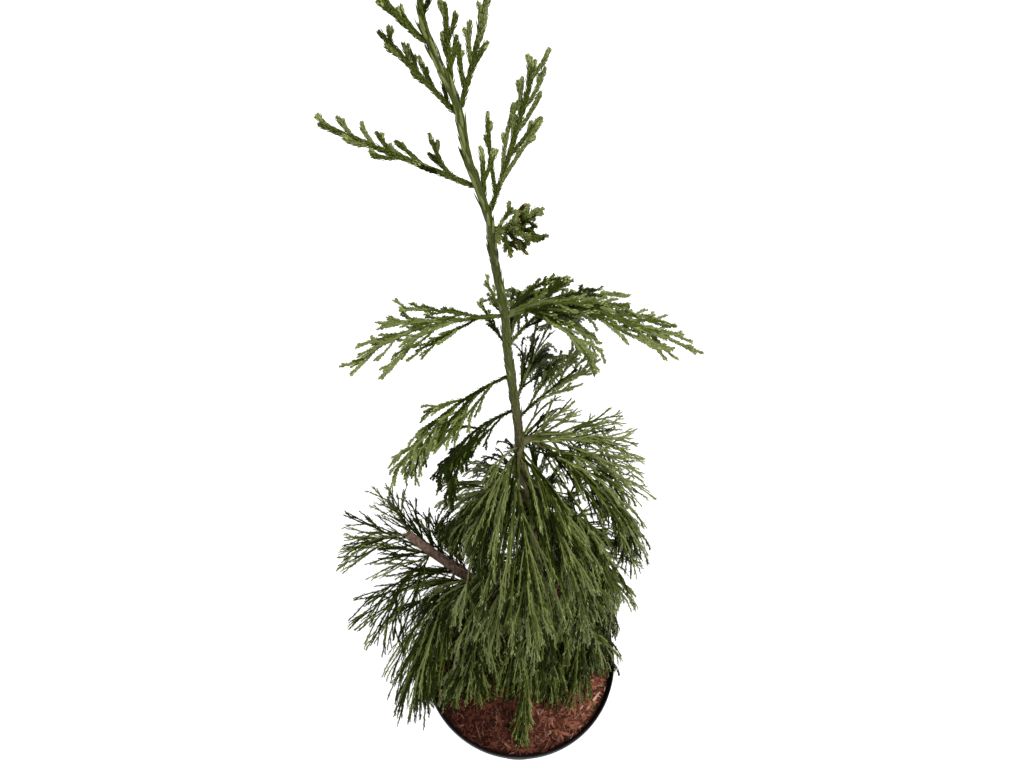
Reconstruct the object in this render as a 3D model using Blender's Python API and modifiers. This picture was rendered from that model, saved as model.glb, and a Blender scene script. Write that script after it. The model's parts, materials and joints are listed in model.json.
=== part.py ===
"""Weeping giant sequoia, one metre tall, in a round nursery pot.

Metres, +Z up. The origin is the centre of the pot's flat underside.
The trunk, the boughs and every plume of foliage are separate solids.
A plume is one drooping stem with cord-like twigs fused to it, and some scale
leaves stand out of the cords. All plumes grow by the same seeded rule.
"""

import math
import random
from collections import namedtuple

import bmesh
import bpy
import numpy as np
from mathutils import Matrix, Vector

# Clearances
GAP = 0.0003
TWIG_CLEARANCE = 0.0012
GROUND_CLEARANCE = 0.004
MERGE = 0.00005

# Pot
POT_HEIGHT = 0.190
POT_RIM_RADIUS = 0.115
POT_BASE_RADIUS = 0.076
POT_WALL = 0.0018
POT_FLOOR = 0.0025
POT_NECK_RADIUS = 0.1128
RIM_DEPTH = 0.009
RIM_ROLL = 0.0011
RIM_STEP = 0.0010
BASE_ROUNDING = 0.006
BASE_SPREAD = 0.0010
HOLE_COUNT = 6
HOLE_RADIUS = 0.0055
HOLE_SIDES = 8
HOLE_RING_RADIUS = 0.055
POT_STEPS = 40

# Bark mulch that fills the pot
MULCH_TOP = 0.176
MULCH_EDGE_DROP = 0.003
MULCH_SHOULDER = 0.012

# Trunk: height over the ground, sideways place and radius
TRUNK_FOOT = MULCH_TOP + GAP
TRUNK_COURSE = (
    (TRUNK_FOOT, 0.0100, 0.0088),
    (0.300, 0.0125, 0.0080),
    (0.450, 0.0140, 0.0066),
    (0.550, 0.0115, 0.0056),
    (0.605, -0.0010, 0.0047),
    (0.670, -0.0050, 0.0041),
    (0.740, -0.0115, 0.0036),
    (0.780, -0.0135, 0.0033),
    (0.820, -0.0188, 0.0030),
    (0.850, -0.0212, 0.0028),
    (0.885, -0.0302, 0.0026),
    (0.915, -0.0343, 0.0024),
    (0.932, -0.0404, 0.0021),
    (0.950, -0.0462, 0.0019),
)
TRUNK_STEPS_A_SPAN = 2
ROOT_FLARE = 0.0065
ROOT_FLARE_HEIGHT = 0.010
FLARE_STEPS = (0.35, 0.8, 1.6, 3.0)

# Boughs
LIMB_STEPS = 5
LIMB_TIP_SHARE = 0.72
SHARP_ANGLE = math.radians(50)
TRUNK_SIDES = 12
BOUGH_SIDES = 8

# Cords of foliage
STEM_STEP = 0.032
STEM_LEAST_STEPS = 3
STEM_MOST_STEPS = 5
STEM_LEAD = 0.004
STEM_TIP_SHARE = 0.80
DENSE_WEEP = 0.5
CORE_SWELL = 1.1
FIRST_TWIG = 0.14
LAST_TWIG = 0.94
FLAT_JITTER = 34
ROUND_JITTER = 20
LEAST_SWING = 30
MOST_SWING = 46
TWIG_REACHES = 1.30
HANGING_TWIG_REACHES = 1.85
TWIG_SHORTENING = 0.62
TWIG_VARIATION = 0.15
TRIES = 4
SHORTER_TRY = 0.78
CLOSER_TRY = 0.86
TWIG_BEND = 0.58
TWIG_CLOSING = 0.45
TWIG_TURNS = (0.25, 0.80)
TWIG_ROOT_SHARE = 0.55
TWIG_BELLY_SHARE = 0.95
LEAF_LENGTH = 0.0075
LEAF_RADIUS = 0.00065
LEAF_SWING = math.radians(38)
LEAF_EVERY = 4
LEAF_PLACES = (0.5, 0.85)
SAMPLE_STEP = 0.003
PLUMB = 0.2
GOLDEN_ANGLE = math.radians(137.5)

# Colours, and the weep from which a plume is of the deep green
DEEP_WEEP = 0.3
POT_BLACK = (0.016, 0.016, 0.018, 1.0)
MULCH_BROWN = (0.115, 0.045, 0.026, 1.0)
BARK_BROWN = (0.150, 0.085, 0.055, 1.0)
FRESH_GREEN = (0.105, 0.185, 0.035, 1.0)
DEEP_GREEN = (0.035, 0.085, 0.028, 1.0)

Limb = namedtuple("Limb", "name height azimuth length rise fall radius")
Plume = namedtuple(
    "Plume",
    "name carrier at azimuth length rise fall reach twigs thickness weep flat",
)

# A limb leaves the trunk at a height and an azimuth; its slope turns from rise to fall.
LIMBS = [
    Limb("bough_right_middle", 0.777, 24, 0.034, 8, -10, 0.0020),
    Limb("bough_right_low", 0.640, 32, 0.028, 4, -34, 0.0026),
    Limb("bough_front_low", 0.636, -95, 0.022, 26, -24, 0.0026),
    Limb("bough_left_woody", 0.315, 166, 0.178, 36, 52, 0.0052),
]

# Plumes on the trunk and on the single boughs: carrier, place along it, then as for a limb.
# A place on the trunk is a height, and 1 is the carrier's tip.
PLUMES = [
    Plume("tip_leading", "trunk", 1.0, 113, 0.057, 75, 87, 0.015, 7, 0.0021, 0.0, 1),
    Plume("tip_left", "trunk", 0.944, 180, 0.037, 40, 62, 0.013, 5, 0.0020, 0.0, 1),
    Plume("top_left", "trunk", 0.910, 173, 0.048, 47, 51, 0.014, 6, 0.0020, 0.0, 1),
    Plume("top_inner", "trunk", 0.922, 98, 0.034, 63, 77, 0.009, 4, 0.0018, 0.0, 1),
    Plume("top_right", "trunk", 0.912, 65, 0.050, 43, 61, 0.011, 6, 0.0020, 0.0, 1),
    Plume("high_left", "trunk", 0.870, 177, 0.080, 24, 24, 0.018, 9, 0.0022, 0.0, 1),
    Plume("high_right", "trunk", 0.852, 52, 0.077, 54, 68, 0.018, 8, 0.0021, 0.0, 1),
    Plume("high_inner", "trunk", 0.860, 92, 0.022, 60, 74, 0.010, 5, 0.0019, 0.0, 1),
    Plume("high_cluster", "trunk", 0.844, -19, 0.018, 8, 30, 0.016, 11, 0.0024, 0.0, 0),
    Plume("middle_left", "trunk", 0.777, 180, 0.086, -5, -29, 0.028, 10, 0.0021, 0.1, 1),
    Plume("middle_right", "bough_right_middle", 1.0, -1, 0.081, -16, -30, 0.028, 10, 0.0023, 0.1, 1),
    Plume("middle_right_upper", "bough_right_middle", 0.52, 42, 0.076, -15, -43, 0.026, 9, 0.0021, 0.1, 1),
    Plume("middle_right_hanging", "bough_right_middle", 0.34, -12, 0.045, -14, -50, 0.024, 8, 0.0019, 0.3, 1),
    Plume("middle_right_rising", "trunk", 0.672, 39, 0.055, 20, 4, 0.024, 7, 0.0019, 0.0, 1),
    Plume("middle_back_right", "trunk", 0.748, 60, 0.114, 2, -70, 0.034, 9, 0.0020, 0.3, 0),
    Plume("middle_back", "trunk", 0.735, 88, 0.098, 9, -41, 0.026, 9, 0.0021, 0.3, 0),
    Plume("middle_left_long", "trunk", 0.721, -164, 0.097, -18, -62, 0.030, 10, 0.0021, 0.2, 1),
    Plume("middle_left_dark", "trunk", 0.683, 177, 0.107, -35, -85, 0.030, 10, 0.0020, 0.3, 1),
    Plume("middle_back_low", "trunk", 0.690, 75, 0.125, 0, -74, 0.034, 10, 0.0023, 0.4, 0),
    Plume("low_right_upper", "bough_right_low", 1.0, 23, 0.081, -27, -53, 0.032, 9, 0.0023, 0.4, 0),
    Plume("low_right_outer", "bough_right_low", 0.60, 10, 0.125, -34, -72, 0.038, 11, 0.0023, 0.5, 0),
    Plume("low_right_front", "bough_right_low", 0.30, -9, 0.172, -34, -80, 0.036, 11, 0.0023, 0.5, 0),
    Plume("low_right_hanging", "trunk", 0.596, -24, 0.164, -33, -87, 0.034, 11, 0.0023, 0.6, 0),
    Plume("front_long", "bough_front_low", 1.0, -82, 0.120, -33, -81, 0.040, 12, 0.0023, 0.5, 0),
    Plume("front_right", "bough_front_low", 0.66, -45, 0.187, -42, -90, 0.036, 11, 0.0023, 0.6, 0),
    Plume("front_left", "bough_front_low", 0.42, -125, 0.141, -30, -86, 0.040, 12, 0.0023, 0.6, 0),
    Plume("woody_left_out", "bough_left_woody", 1.0, -174, 0.048, 4, -30, 0.038, 11, 0.0023, 0.4, 0),
    Plume("woody_left_up", "bough_left_woody", 0.92, 143, 0.054, 54, 68, 0.024, 7, 0.0018, 0.0, 0),
    Plume("woody_left_down", "bough_left_woody", 0.80, -123, 0.073, 26, -32, 0.042, 11, 0.0023, 0.5, 0),
    Plume("woody_left_hanging", "bough_left_woody", 0.60, -113, 0.135, 6, -84, 0.046, 12, 0.0023, 0.5, 0),
]

# The weeping skirt: its hem is this far from the pot's axis, closer in front and wider on the left
SKIRT_REACH = 0.100
SKIRT_FRONT_CUT = 0.058
SKIRT_LEFT_SPREAD = 0.018
SKIRT_THICKNESS = 0.0025
SKIRT_WEEP = 0.7
HANG_FALL = -88.0
LEAST_BEND = 4.0
HEM_HEIGHT = MULCH_TOP + 0.042
Ring = namedtuple("Ring", "name height azimuths bough_share hem_share hem_height reach twigs")
RINGS = (
    Ring("upper", 0.548, (152,), 0.40, 0.56, 0.440, 0.038, 14),
    Ring("back", 0.530, (100,), 0.42, 0.88, 0.290, 0.044, 14),
    Ring("middle", 0.452, (-80, -10, 50, -152), 0.56, 0.94, 0.240, 0.047, 15),
)
RING_RISE = 26
RING_FALL = -30
RING_RADIUS = 0.0034
RING_SPREAD = 38
RING_STAGGER = 0.012
RING_FIRST_PLUME = 0.66
HEM_STAGGER = 0.010

# Plumes that hang from the foot of the trunk, inside the skirt, and the tassel in front:
# each foot has an azimuth and a share of the hem's radius there
FEET = ((-146, 0.98), (-51, 0.96), (-8, 0.94), (140, 0.75))
FOOT_HEIGHT = 0.352
FOOT_REACH = 0.040
FOOT_TWIGS = 12
TASSEL_HEIGHT = 0.292
TASSEL_AZIMUTH = -88
TASSEL_RADIUS = 0.091
TASSEL_HEM = MULCH_TOP + 0.008


def principled(name, colour, roughness, metallic=0.0):
    """A plain Principled material."""
    material = bpy.data.materials.new(name)
    material.use_nodes = True
    shader = material.node_tree.nodes["Principled BSDF"]
    shader.inputs["Base Color"].default_value = colour
    shader.inputs["Roughness"].default_value = roughness
    shader.inputs["Metallic"].default_value = metallic
    material.diffuse_color = colour
    return material


def add_object(name, mesh, collection, material=None):
    """Links a mesh as a new object."""
    obj = bpy.data.objects.new(name, mesh)
    if material:
        mesh.materials.clear()
        mesh.materials.append(material)
    collection.objects.link(obj)
    return obj


def heading(azimuth, slope):
    """The unit vector that points to an azimuth and rises by a slope, both in degrees."""
    turn = math.radians(azimuth)
    lift = math.radians(slope)
    return Vector(
        (
            math.cos(lift) * math.cos(turn),
            math.cos(lift) * math.sin(turn),
            math.sin(lift),
        )
    )


def drooping_path(start, azimuth, length, rise, fall, steps):
    """Points of a limb whose slope turns evenly from rise to fall."""
    points = [Vector(start)]
    for index in range(steps):
        slope = rise + (fall - rise) * (index + 0.5) / steps
        points.append(points[-1] + heading(azimuth, slope) * (length / steps))
    return points


def smooth_rows(rows, steps):
    """A Catmull-Rom curve through rows of numbers, with some steps to each span."""
    rows = np.array(rows, float)
    padded = np.vstack([2 * rows[0] - rows[1], rows, 2 * rows[-1] - rows[-2]])
    curve = []
    for index in range(len(rows) - 1):
        before, start, end, after = padded[index : index + 4]
        for step in range(steps):
            share = step / steps
            curve.append(
                0.5
                * (
                    2 * start
                    + (end - before) * share
                    + (2 * before - 5 * start + 4 * end - after) * share**2
                    + (3 * start - before - 3 * end + after) * share**3
                )
            )
    curve.append(rows[-1])
    return np.array(curve)


def trunk_line():
    """The trunk's axis points and radii, with the root flare at its foot."""
    course = smooth_rows(TRUNK_COURSE, TRUNK_STEPS_A_SPAN)
    flare_rows = []
    for share in FLARE_STEPS:
        height = TRUNK_FOOT + share * ROOT_FLARE_HEIGHT
        flare_rows.append([np.interp(height, course[:, 0], course[:, k]) for k in range(3)])
    course = np.array(sorted(np.vstack([course, flare_rows]).tolist()))
    flare = ROOT_FLARE * np.exp(-(course[:, 0] - TRUNK_FOOT) / ROOT_FLARE_HEIGHT)
    points = [Vector((row[1], 0.0, row[0])) for row in course]
    points[1].x = points[0].x  # the foot stands plumb, so that its cut is level
    return points, (course[:, 2] + flare).tolist()


def swept_meshes(name, courses, profile=None, sides=0):
    """A closed mesh along each course of points and radii: round, or with a profile's outline."""
    sources = []
    for points, radii in courses:
        curve = bpy.data.curves.new(name, "CURVE")
        curve.dimensions = "3D"
        curve.use_fill_caps = True
        if profile is None:
            curve.bevel_depth = 1.0
            curve.bevel_resolution = sides // 4 - 1
        else:
            curve.bevel_mode = "OBJECT"
            curve.bevel_object = profile
        spline = curve.splines.new("POLY")
        spline.points.add(len(points) - 1)
        for slot, point, radius in zip(spline.points, points, radii):
            slot.co = (*point, 1.0)
            slot.radius = radius
        sources.append(bpy.data.objects.new(name, curve))
        bpy.context.scene.collection.objects.link(sources[-1])
    graph = bpy.context.evaluated_depsgraph_get()
    meshes = [bpy.data.meshes.new_from_object(source.evaluated_get(graph)) for source in sources]
    for source, mesh in zip(sources, meshes):
        curve = source.data
        bpy.data.objects.remove(source)
        bpy.data.curves.remove(curve)
        weld(mesh)
        if profile is None:
            mesh.shade_smooth()
            mesh.set_sharp_from_angle(angle=SHARP_ANGLE)
    return meshes


def weld(mesh):
    """Merges the loose caps and points that meet, and points all faces outwards."""
    bm = bmesh.new()
    bm.from_mesh(mesh)
    bmesh.ops.remove_doubles(bm, verts=bm.verts, dist=1e-6)
    bmesh.ops.dissolve_degenerate(bm, edges=bm.edges, dist=1e-7)
    bmesh.ops.recalc_face_normals(bm, faces=bm.faces)
    bm.to_mesh(mesh)
    bm.free()


def pot_wall():
    """The outer wall's upper and lower ends, as radius and height."""
    return (
        Vector((POT_NECK_RADIUS, POT_HEIGHT - RIM_DEPTH - RIM_STEP)),
        Vector((POT_BASE_RADIUS + BASE_SPREAD, BASE_ROUNDING)),
    )


def build_pot(collection, cutters, material):
    """A turned pot: tapering wall, rolled rim and flat floor with drain holes."""
    wall_top, wall_foot = pot_wall()
    outline = [
        (POT_RIM_RADIUS - 2 * RIM_ROLL, POT_HEIGHT - RIM_ROLL / 2),
        (POT_RIM_RADIUS - RIM_ROLL, POT_HEIGHT),
        (POT_RIM_RADIUS, POT_HEIGHT - RIM_ROLL),
        (POT_RIM_RADIUS, POT_HEIGHT - RIM_DEPTH),
        (wall_top.x, wall_top.y),
        (wall_foot.x, wall_foot.y),
        (POT_BASE_RADIUS - BASE_ROUNDING / 2, 0.0),
        (0.0, 0.0),
        (0.0, POT_FLOOR),
        (POT_BASE_RADIUS - BASE_ROUNDING, POT_FLOOR),
        (wall_foot.x - POT_WALL, wall_foot.y + BASE_SPREAD),
        (wall_top.x - POT_WALL, wall_top.y),
    ]
    pot = turned("pot", outline, collection, material)
    for index in range(HOLE_COUNT):
        angle = 2 * math.pi * (index + 0.5) / HOLE_COUNT
        bpy.ops.mesh.primitive_cylinder_add(
            vertices=HOLE_SIDES,
            radius=HOLE_RADIUS,
            depth=4 * POT_FLOOR,
            location=(
                HOLE_RING_RADIUS * math.cos(angle),
                HOLE_RING_RADIUS * math.sin(angle),
                POT_FLOOR / 2,
            ),
        )
        hole = bpy.context.active_object
        hole.name = f"drain_hole_cutter_{index + 1}"
        hole.hide_render = True
        hole.display_type = "WIRE"
        for owner in hole.users_collection:
            owner.objects.unlink(hole)
        cutters.objects.link(hole)
    drain = pot.modifiers.new("drain holes", "BOOLEAN")
    drain.operation = "DIFFERENCE"
    drain.operand_type = "COLLECTION"
    drain.collection = cutters
    return pot


def turned(name, outline, collection, material):
    """A solid of revolution. Its outline runs down the outer side at +X and closes off the axis."""
    mesh = bpy.data.meshes.new(name)
    bm = bmesh.new()
    corners = [bm.verts.new((radius, 0.0, height)) for radius, height in outline]
    for first, second in zip(corners, corners[1:] + corners[:1]):
        if first.co.x > 0.0 or second.co.x > 0.0:
            bm.edges.new((first, second))
    bm.to_mesh(mesh)
    bm.free()
    obj = add_object(name, mesh, collection, material)
    screw = obj.modifiers.new("turn", "SCREW")
    screw.steps = POT_STEPS
    screw.render_steps = POT_STEPS
    screw.use_merge_vertices = True
    screw.merge_threshold = MERGE
    screw.use_smooth_shade = True
    return obj


def build_mulch(collection, material):
    """The mulch that fills the pot, a hair clear of its walls."""
    wall_top, wall_foot = pot_wall()
    edge_height = MULCH_TOP - MULCH_EDGE_DROP
    share = (edge_height - wall_foot.y) / (wall_top.y - wall_foot.y)
    inset = POT_WALL + 2 * GAP
    edge_radius = wall_foot.lerp(wall_top, share).x - inset
    outline = [
        (0.0, MULCH_TOP),
        (edge_radius - MULCH_SHOULDER, MULCH_TOP),
        (edge_radius, edge_height),
        (wall_foot.x - inset, wall_foot.y + BASE_SPREAD + GAP),
        (POT_BASE_RADIUS - BASE_ROUNDING - BASE_SPREAD, POT_FLOOR + GAP),
        (0.0, POT_FLOOR + GAP),
    ]
    return turned("bark_mulch", outline, collection, material)


def build_bough(name, mesh, clearance, collection, material):
    """A tapering bough, cut where it meets the trunk so that it seats round the bark."""
    bough = add_object(name, mesh, collection, material)
    seat = bough.modifiers.new("seat on trunk", "BOOLEAN")
    seat.operation = "DIFFERENCE"
    seat.object = clearance
    return bough


class Crown:
    """Every limb and stem of the plant, which the twigs have to keep clear of."""

    def __init__(self):
        points, radii = trunk_line()
        self.limbs = {"trunk": (points, radii)}
        self.stems = {}
        self.leads = {}

    def add_limb(self, limb):
        """Lays a bough from the trunk's axis at its height."""
        start, _, _ = self.place_at_height(limb.height)
        points = drooping_path(
            start, limb.azimuth, limb.length, limb.rise, limb.fall, LIMB_STEPS
        )
        radii = np.linspace(1.0, LIMB_TIP_SHARE, len(points)) * limb.radius
        self.limbs[limb.name] = (points, radii.tolist())

    def place_at_height(self, height):
        """The trunk's axis point, direction and radius at a height."""
        points, radii = self.limbs["trunk"]
        heights = [point.z for point in points]
        index = min(max(int(np.searchsorted(heights, height)), 1), len(points) - 1)
        low, high = points[index - 1], points[index]
        share = (height - low.z) / (high.z - low.z)
        radius = radii[index - 1] + (radii[index] - radii[index - 1]) * share
        return low.lerp(high, share), (high - low).normalized(), radius

    def place_along(self, name, at):
        """The axis point, direction and radius at a share of a bough's length."""
        points, radii = self.limbs[name]
        place = at * (len(points) - 1)
        index = min(int(place), len(points) - 2)
        share = place - index
        radius = radii[index] + (radii[index + 1] - radii[index]) * share
        axis = (points[index + 1] - points[index]).normalized()
        return points[index].lerp(points[index + 1], share), axis, radius

    def add_stem(self, plume):
        """Lays a plume's stem, and its lead: the point that it comes from in what carries it."""
        if plume.carrier == "trunk" and not at_tip(plume):
            place, axis, radius = self.place_at_height(plume.at)
        else:
            place, axis, radius = self.place_along(plume.carrier, plume.at)
        if at_tip(plume):
            lead = place + axis * GAP
            start = lead + axis * STEM_LEAD
        else:
            way = heading(plume.azimuth, plume.rise)
            lead = place
            start = place + way * (radius / math.sin(way.angle(axis)))
        steps = min(max(round(plume.length / STEM_STEP), STEM_LEAST_STEPS), STEM_MOST_STEPS)
        path = drooping_path(start, plume.azimuth, plume.length, plume.rise, plume.fall, steps)
        self.stems[plume.name] = path
        self.leads[plume.name] = lead

    def settle(self):
        """Samples all limbs and stems once, for the tests on twigs."""
        names, places = [], []
        for index, path in enumerate(self.stems.values()):
            points = resample(path)
            places.append(points)
            names += [index] * len(points)
        self.stem_places = np.vstack(places)
        self.stem_owners = np.array(names)
        self.stem_order = list(self.stems)
        solid, thick = [], []
        for points, radii in self.limbs.values():
            line = resample(points)
            along = np.linspace(0, len(points) - 1, len(line))
            solid.append(line)
            thick.append(np.interp(along, range(len(points)), radii))
        self.limb_places = np.vstack(solid)
        self.limb_radii = np.concatenate(thick)

    def fits(self, path, radius, plume):
        """True where a twig keeps to its plume's own space and clear of limbs, pot and mulch."""
        points = resample(path)
        if points[:, 2].min() < GROUND_CLEARANCE + radius:
            return False
        across = np.hypot(points[:, 0], points[:, 1])
        low = points[:, 2] < POT_HEIGHT + GROUND_CLEARANCE
        outside = across > POT_RIM_RADIUS + GROUND_CLEARANCE
        inside = across < POT_NECK_RADIUS - GROUND_CLEARANCE - POT_WALL
        over_mulch = points[:, 2] > MULCH_TOP + TWIG_CLEARANCE + radius
        if (low & ~outside & ~(inside & over_mulch)).any():
            return False
        to_limbs = distances(points, self.limb_places) - self.limb_radii
        if to_limbs.min() < radius + TWIG_CLEARANCE:
            return False
        own = self.stem_owners == self.stem_order.index(plume.name)
        to_stems = distances(points, self.stem_places)
        to_own = to_stems[:, own].min(axis=1)
        to_others = to_stems[:, ~own].min(axis=1)
        margin = radius * (2.0 + core_swell(plume)) + TWIG_CLEARANCE
        return bool((to_own + margin < to_others).all() and to_own.max() < plume.reach)


def distances(points, places):
    """Each point's distance to each place."""
    return np.linalg.norm(points[:, None, :] - places[None, :, :], axis=2)


def resample(path):
    """Points at about SAMPLE_STEP along a path of straight runs."""
    corners = np.array([tuple(point) for point in path])
    runs = np.linalg.norm(np.diff(corners, axis=0), axis=1)
    along = np.concatenate([[0.0], np.cumsum(runs)])
    count = max(2, int(along[-1] / SAMPLE_STEP) + 1)
    wanted = np.linspace(0.0, along[-1], count)
    return np.stack([np.interp(wanted, along, corners[:, k]) for k in range(3)], axis=1)


def point_along(path, share):
    """The point and direction at a share of a path."""
    place = share * (len(path) - 1)
    index = min(int(place), len(path) - 2)
    way = (path[index + 1] - path[index]).normalized()
    return path[index].lerp(path[index + 1], place - index), way


def twig_path(origin, stem_way, around, swing, length, weep):
    """A twig that leaves its stem by a swing, closes up to the stem's own way and droops."""
    level = Vector((0.0, 0.0, 1.0)).cross(stem_way)
    side = (level if level.length > PLUMB else stem_way.orthogonal()).normalized()
    side = Matrix.Rotation(around, 3, stem_way) @ side
    points = [origin.copy()]
    for share, run in zip(TWIG_TURNS, (TWIG_BEND, 1.0 - TWIG_BEND)):
        turn = swing * (1.0 - TWIG_CLOSING * share)
        way = stem_way * math.cos(turn) + side * math.sin(turn)
        way = way.lerp(Vector((0.0, 0.0, -1.0)), weep * share).normalized()
        points.append(points[-1] + way * (length * run))
    return points


def at_tip(plume):
    """True where a plume carries on from its carrier's tip."""
    return plume.at == 1.0


def stem_course(plume, path):
    """A stem's points and radii: it tapers and closes to a point, round a core where it is dense."""
    along = np.linspace(0.0, 1.0, len(path))
    taper = 1.0 + (STEM_TIP_SHARE - 1.0) * along
    radii = plume.thickness * (taper + core_swell(plume) * np.sin(np.pi * along))
    radii[-1] = 0.0
    return path, radii.tolist()


def core_swell(plume):
    """How much a plume's core adds to its stem, in stem radii: only dense plumes have one."""
    return CORE_SWELL if plume.weep >= DENSE_WEEP else 0.0


def twig_course(path, radius):
    """A twig's points and radii: slim where it roots, thickest where it bends, pointed."""
    return path, [TWIG_ROOT_SHARE * radius, TWIG_BELLY_SHARE * radius, 0.0]


def grow(plume, crown):
    """The paths of a plume's twigs and leaves, by a rule seeded with the plume's name."""
    chance = random.Random(plume.name)
    stem = crown.stems[plume.name]
    twigs, leaves = [], []
    for index in range(plume.twigs):
        share = FIRST_TWIG + (LAST_TWIG - FIRST_TWIG) * index / (plume.twigs - 1)
        origin, way = point_along(stem, share)
        if plume.flat:
            around = math.pi * (index % 2) + math.radians(chance.uniform(-FLAT_JITTER, FLAT_JITTER))
        else:
            around = GOLDEN_ANGLE * index + math.radians(chance.uniform(-ROUND_JITTER, ROUND_JITTER))
        swing = math.radians(chance.uniform(LEAST_SWING, MOST_SWING))
        longest = HANGING_TWIG_REACHES if plume.weep >= DENSE_WEEP else TWIG_REACHES
        variation = chance.uniform(1.0 - TWIG_VARIATION, 1.0 + TWIG_VARIATION)
        length = plume.reach * (longest - TWIG_SHORTENING * share) * variation
        for _ in range(TRIES):
            path = twig_path(origin, way, around, swing, length, plume.weep)
            if crown.fits(path[1:], plume.thickness, plume):
                twigs.append(path)
                break
            length *= SHORTER_TRY
            swing *= CLOSER_TRY
        else:
            continue
        if index % LEAF_EVERY == 0:
            leaves.append(leaf_place(path, chance))
    return twigs, leaves


def leaf_place(path, chance):
    """Where a scale leaf stands out of a twig: its root and its way."""
    root, way = point_along(path, chance.uniform(*LEAF_PLACES))
    side = Matrix.Rotation(chance.uniform(0, 2 * math.pi), 3, way) @ way.orthogonal().normalized()
    return root, (way * math.cos(LEAF_SWING) + side * math.sin(LEAF_SWING)).normalized()


def leaf_mesh(root, way, radius):
    """A three-sided pointed leaf with its root sunk into its cord."""
    bm = bmesh.new()
    length = LEAF_LENGTH + radius
    turn = way.to_track_quat("Z", "Y").to_matrix().to_4x4()
    bmesh.ops.create_cone(
        bm,
        cap_ends=True,
        segments=3,
        radius1=LEAF_RADIUS,
        radius2=0.0,
        depth=length,
        matrix=Matrix.Translation(root + way * (length / 2)) @ turn,
    )
    bmesh.ops.remove_doubles(bm, verts=bm.verts, dist=1e-6)
    mesh = bpy.data.meshes.new("leaf")
    bm.to_mesh(mesh)
    bm.free()
    return mesh


def fuse(name, meshes, seat, collection, material):
    """One Boolean union of a stem and the pieces that grow on it, cut to its seat and applied."""
    pieces = bpy.data.collections.new(name + "_pieces")
    bpy.context.scene.collection.children.link(pieces)
    stem = add_object(name, meshes[0], collection)
    for index, mesh in enumerate(meshes[1:]):
        add_object(f"{name}_piece_{index}", mesh, pieces)
    union = stem.modifiers.new("fuse", "BOOLEAN")
    union.operation = "UNION"
    union.solver = "MANIFOLD"
    union.operand_type = "COLLECTION"
    union.collection = pieces
    if seat:
        cut = stem.modifiers.new("seat", "BOOLEAN")
        cut.operation = "DIFFERENCE"
        cut.object = seat
    graph = bpy.context.evaluated_depsgraph_get()
    joined = bpy.data.meshes.new_from_object(stem.evaluated_get(graph))
    for piece in list(pieces.objects):
        bpy.data.objects.remove(piece)
    bpy.data.collections.remove(pieces)
    stem.modifiers.clear()
    keep_main_shell(joined)
    stem.data = joined
    joined.name = name
    joined.materials.clear()
    joined.materials.append(material)
    return stem


def keep_main_shell(mesh):
    """Drops loose scraps and fills sealed hollows: only the shell with most faces stays."""
    bm = bmesh.new()
    bm.from_mesh(mesh)
    left = set(bm.faces)
    shells = []
    while left:
        front = [left.pop()]
        shell = set(front)
        while front:
            face = front.pop()
            for edge in face.edges:
                for near in edge.link_faces:
                    if near in left:
                        left.discard(near)
                        shell.add(near)
                        front.append(near)
        shells.append(shell)
    main = max(shells, key=len)
    scraps = [face for face in bm.faces if face not in main]
    bmesh.ops.delete(bm, geom=scraps, context="FACES")
    bm.to_mesh(mesh)
    bm.free()


def build_plume(plume, crown, profile, seats, collection, material):
    """A plume's stem, twigs and leaves, fused into one solid."""
    twigs, leaves = grow(plume, crown)
    courses = [stem_course(plume, [crown.leads[plume.name], *crown.stems[plume.name]])]
    courses += [twig_course(path, plume.thickness) for path in twigs]
    meshes = swept_meshes("cord", courses, profile)
    meshes += [leaf_mesh(root, way, plume.thickness) for root, way in leaves]
    seat = None if at_tip(plume) else seats[plume.carrier]
    return fuse(plume.name, meshes, seat, collection, material)


def build_woody_parts(crown, cutters, collection, material):
    """The trunk and the boughs seated round it. Returns each limb's cutter, a gap larger than it."""
    seats = {}
    for name, (points, radii) in crown.limbs.items():
        wide = [radius + GAP for radius in radii]
        sides = TRUNK_SIDES if name == "trunk" else BOUGH_SIDES
        mesh, clearance = swept_meshes(name, [(points, radii), (points, wide)], None, sides)
        cutter = add_object(name + "_clearance_cutter", clearance, cutters)
        cutter.hide_render = True
        cutter.display_type = "WIRE"
        if name != "trunk":
            build_bough(name, mesh, seats["trunk"], collection, material)
        else:
            add_object(name, mesh, collection, material)
        seats[name] = cutter
    return seats


def three_sided_profile():
    """The outline of a cord: a triangle of radius one."""
    curve = bpy.data.curves.new("cord_profile", "CURVE")
    curve.dimensions = "2D"
    spline = curve.splines.new("POLY")
    spline.points.add(2)
    spline.use_cyclic_u = True
    for index in range(3):
        angle = 2 * math.pi * index / 3
        spline.points[index].co = (math.cos(angle), math.sin(angle), 0.0, 1.0)
    profile = bpy.data.objects.new("cord_profile", curve)
    profile.hide_render = True
    bpy.context.scene.collection.objects.link(profile)
    return profile


def hem_radius(azimuth):
    """How far the skirt's hem is from the pot's axis: cut back in front, spread on the left."""
    turn = math.radians(azimuth)
    front = max(0.0, -math.sin(turn))
    left = max(0.0, -math.cos(turn))
    return SKIRT_REACH - SKIRT_FRONT_CUT * front**1.5 + SKIRT_LEFT_SPREAD * left**2


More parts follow.
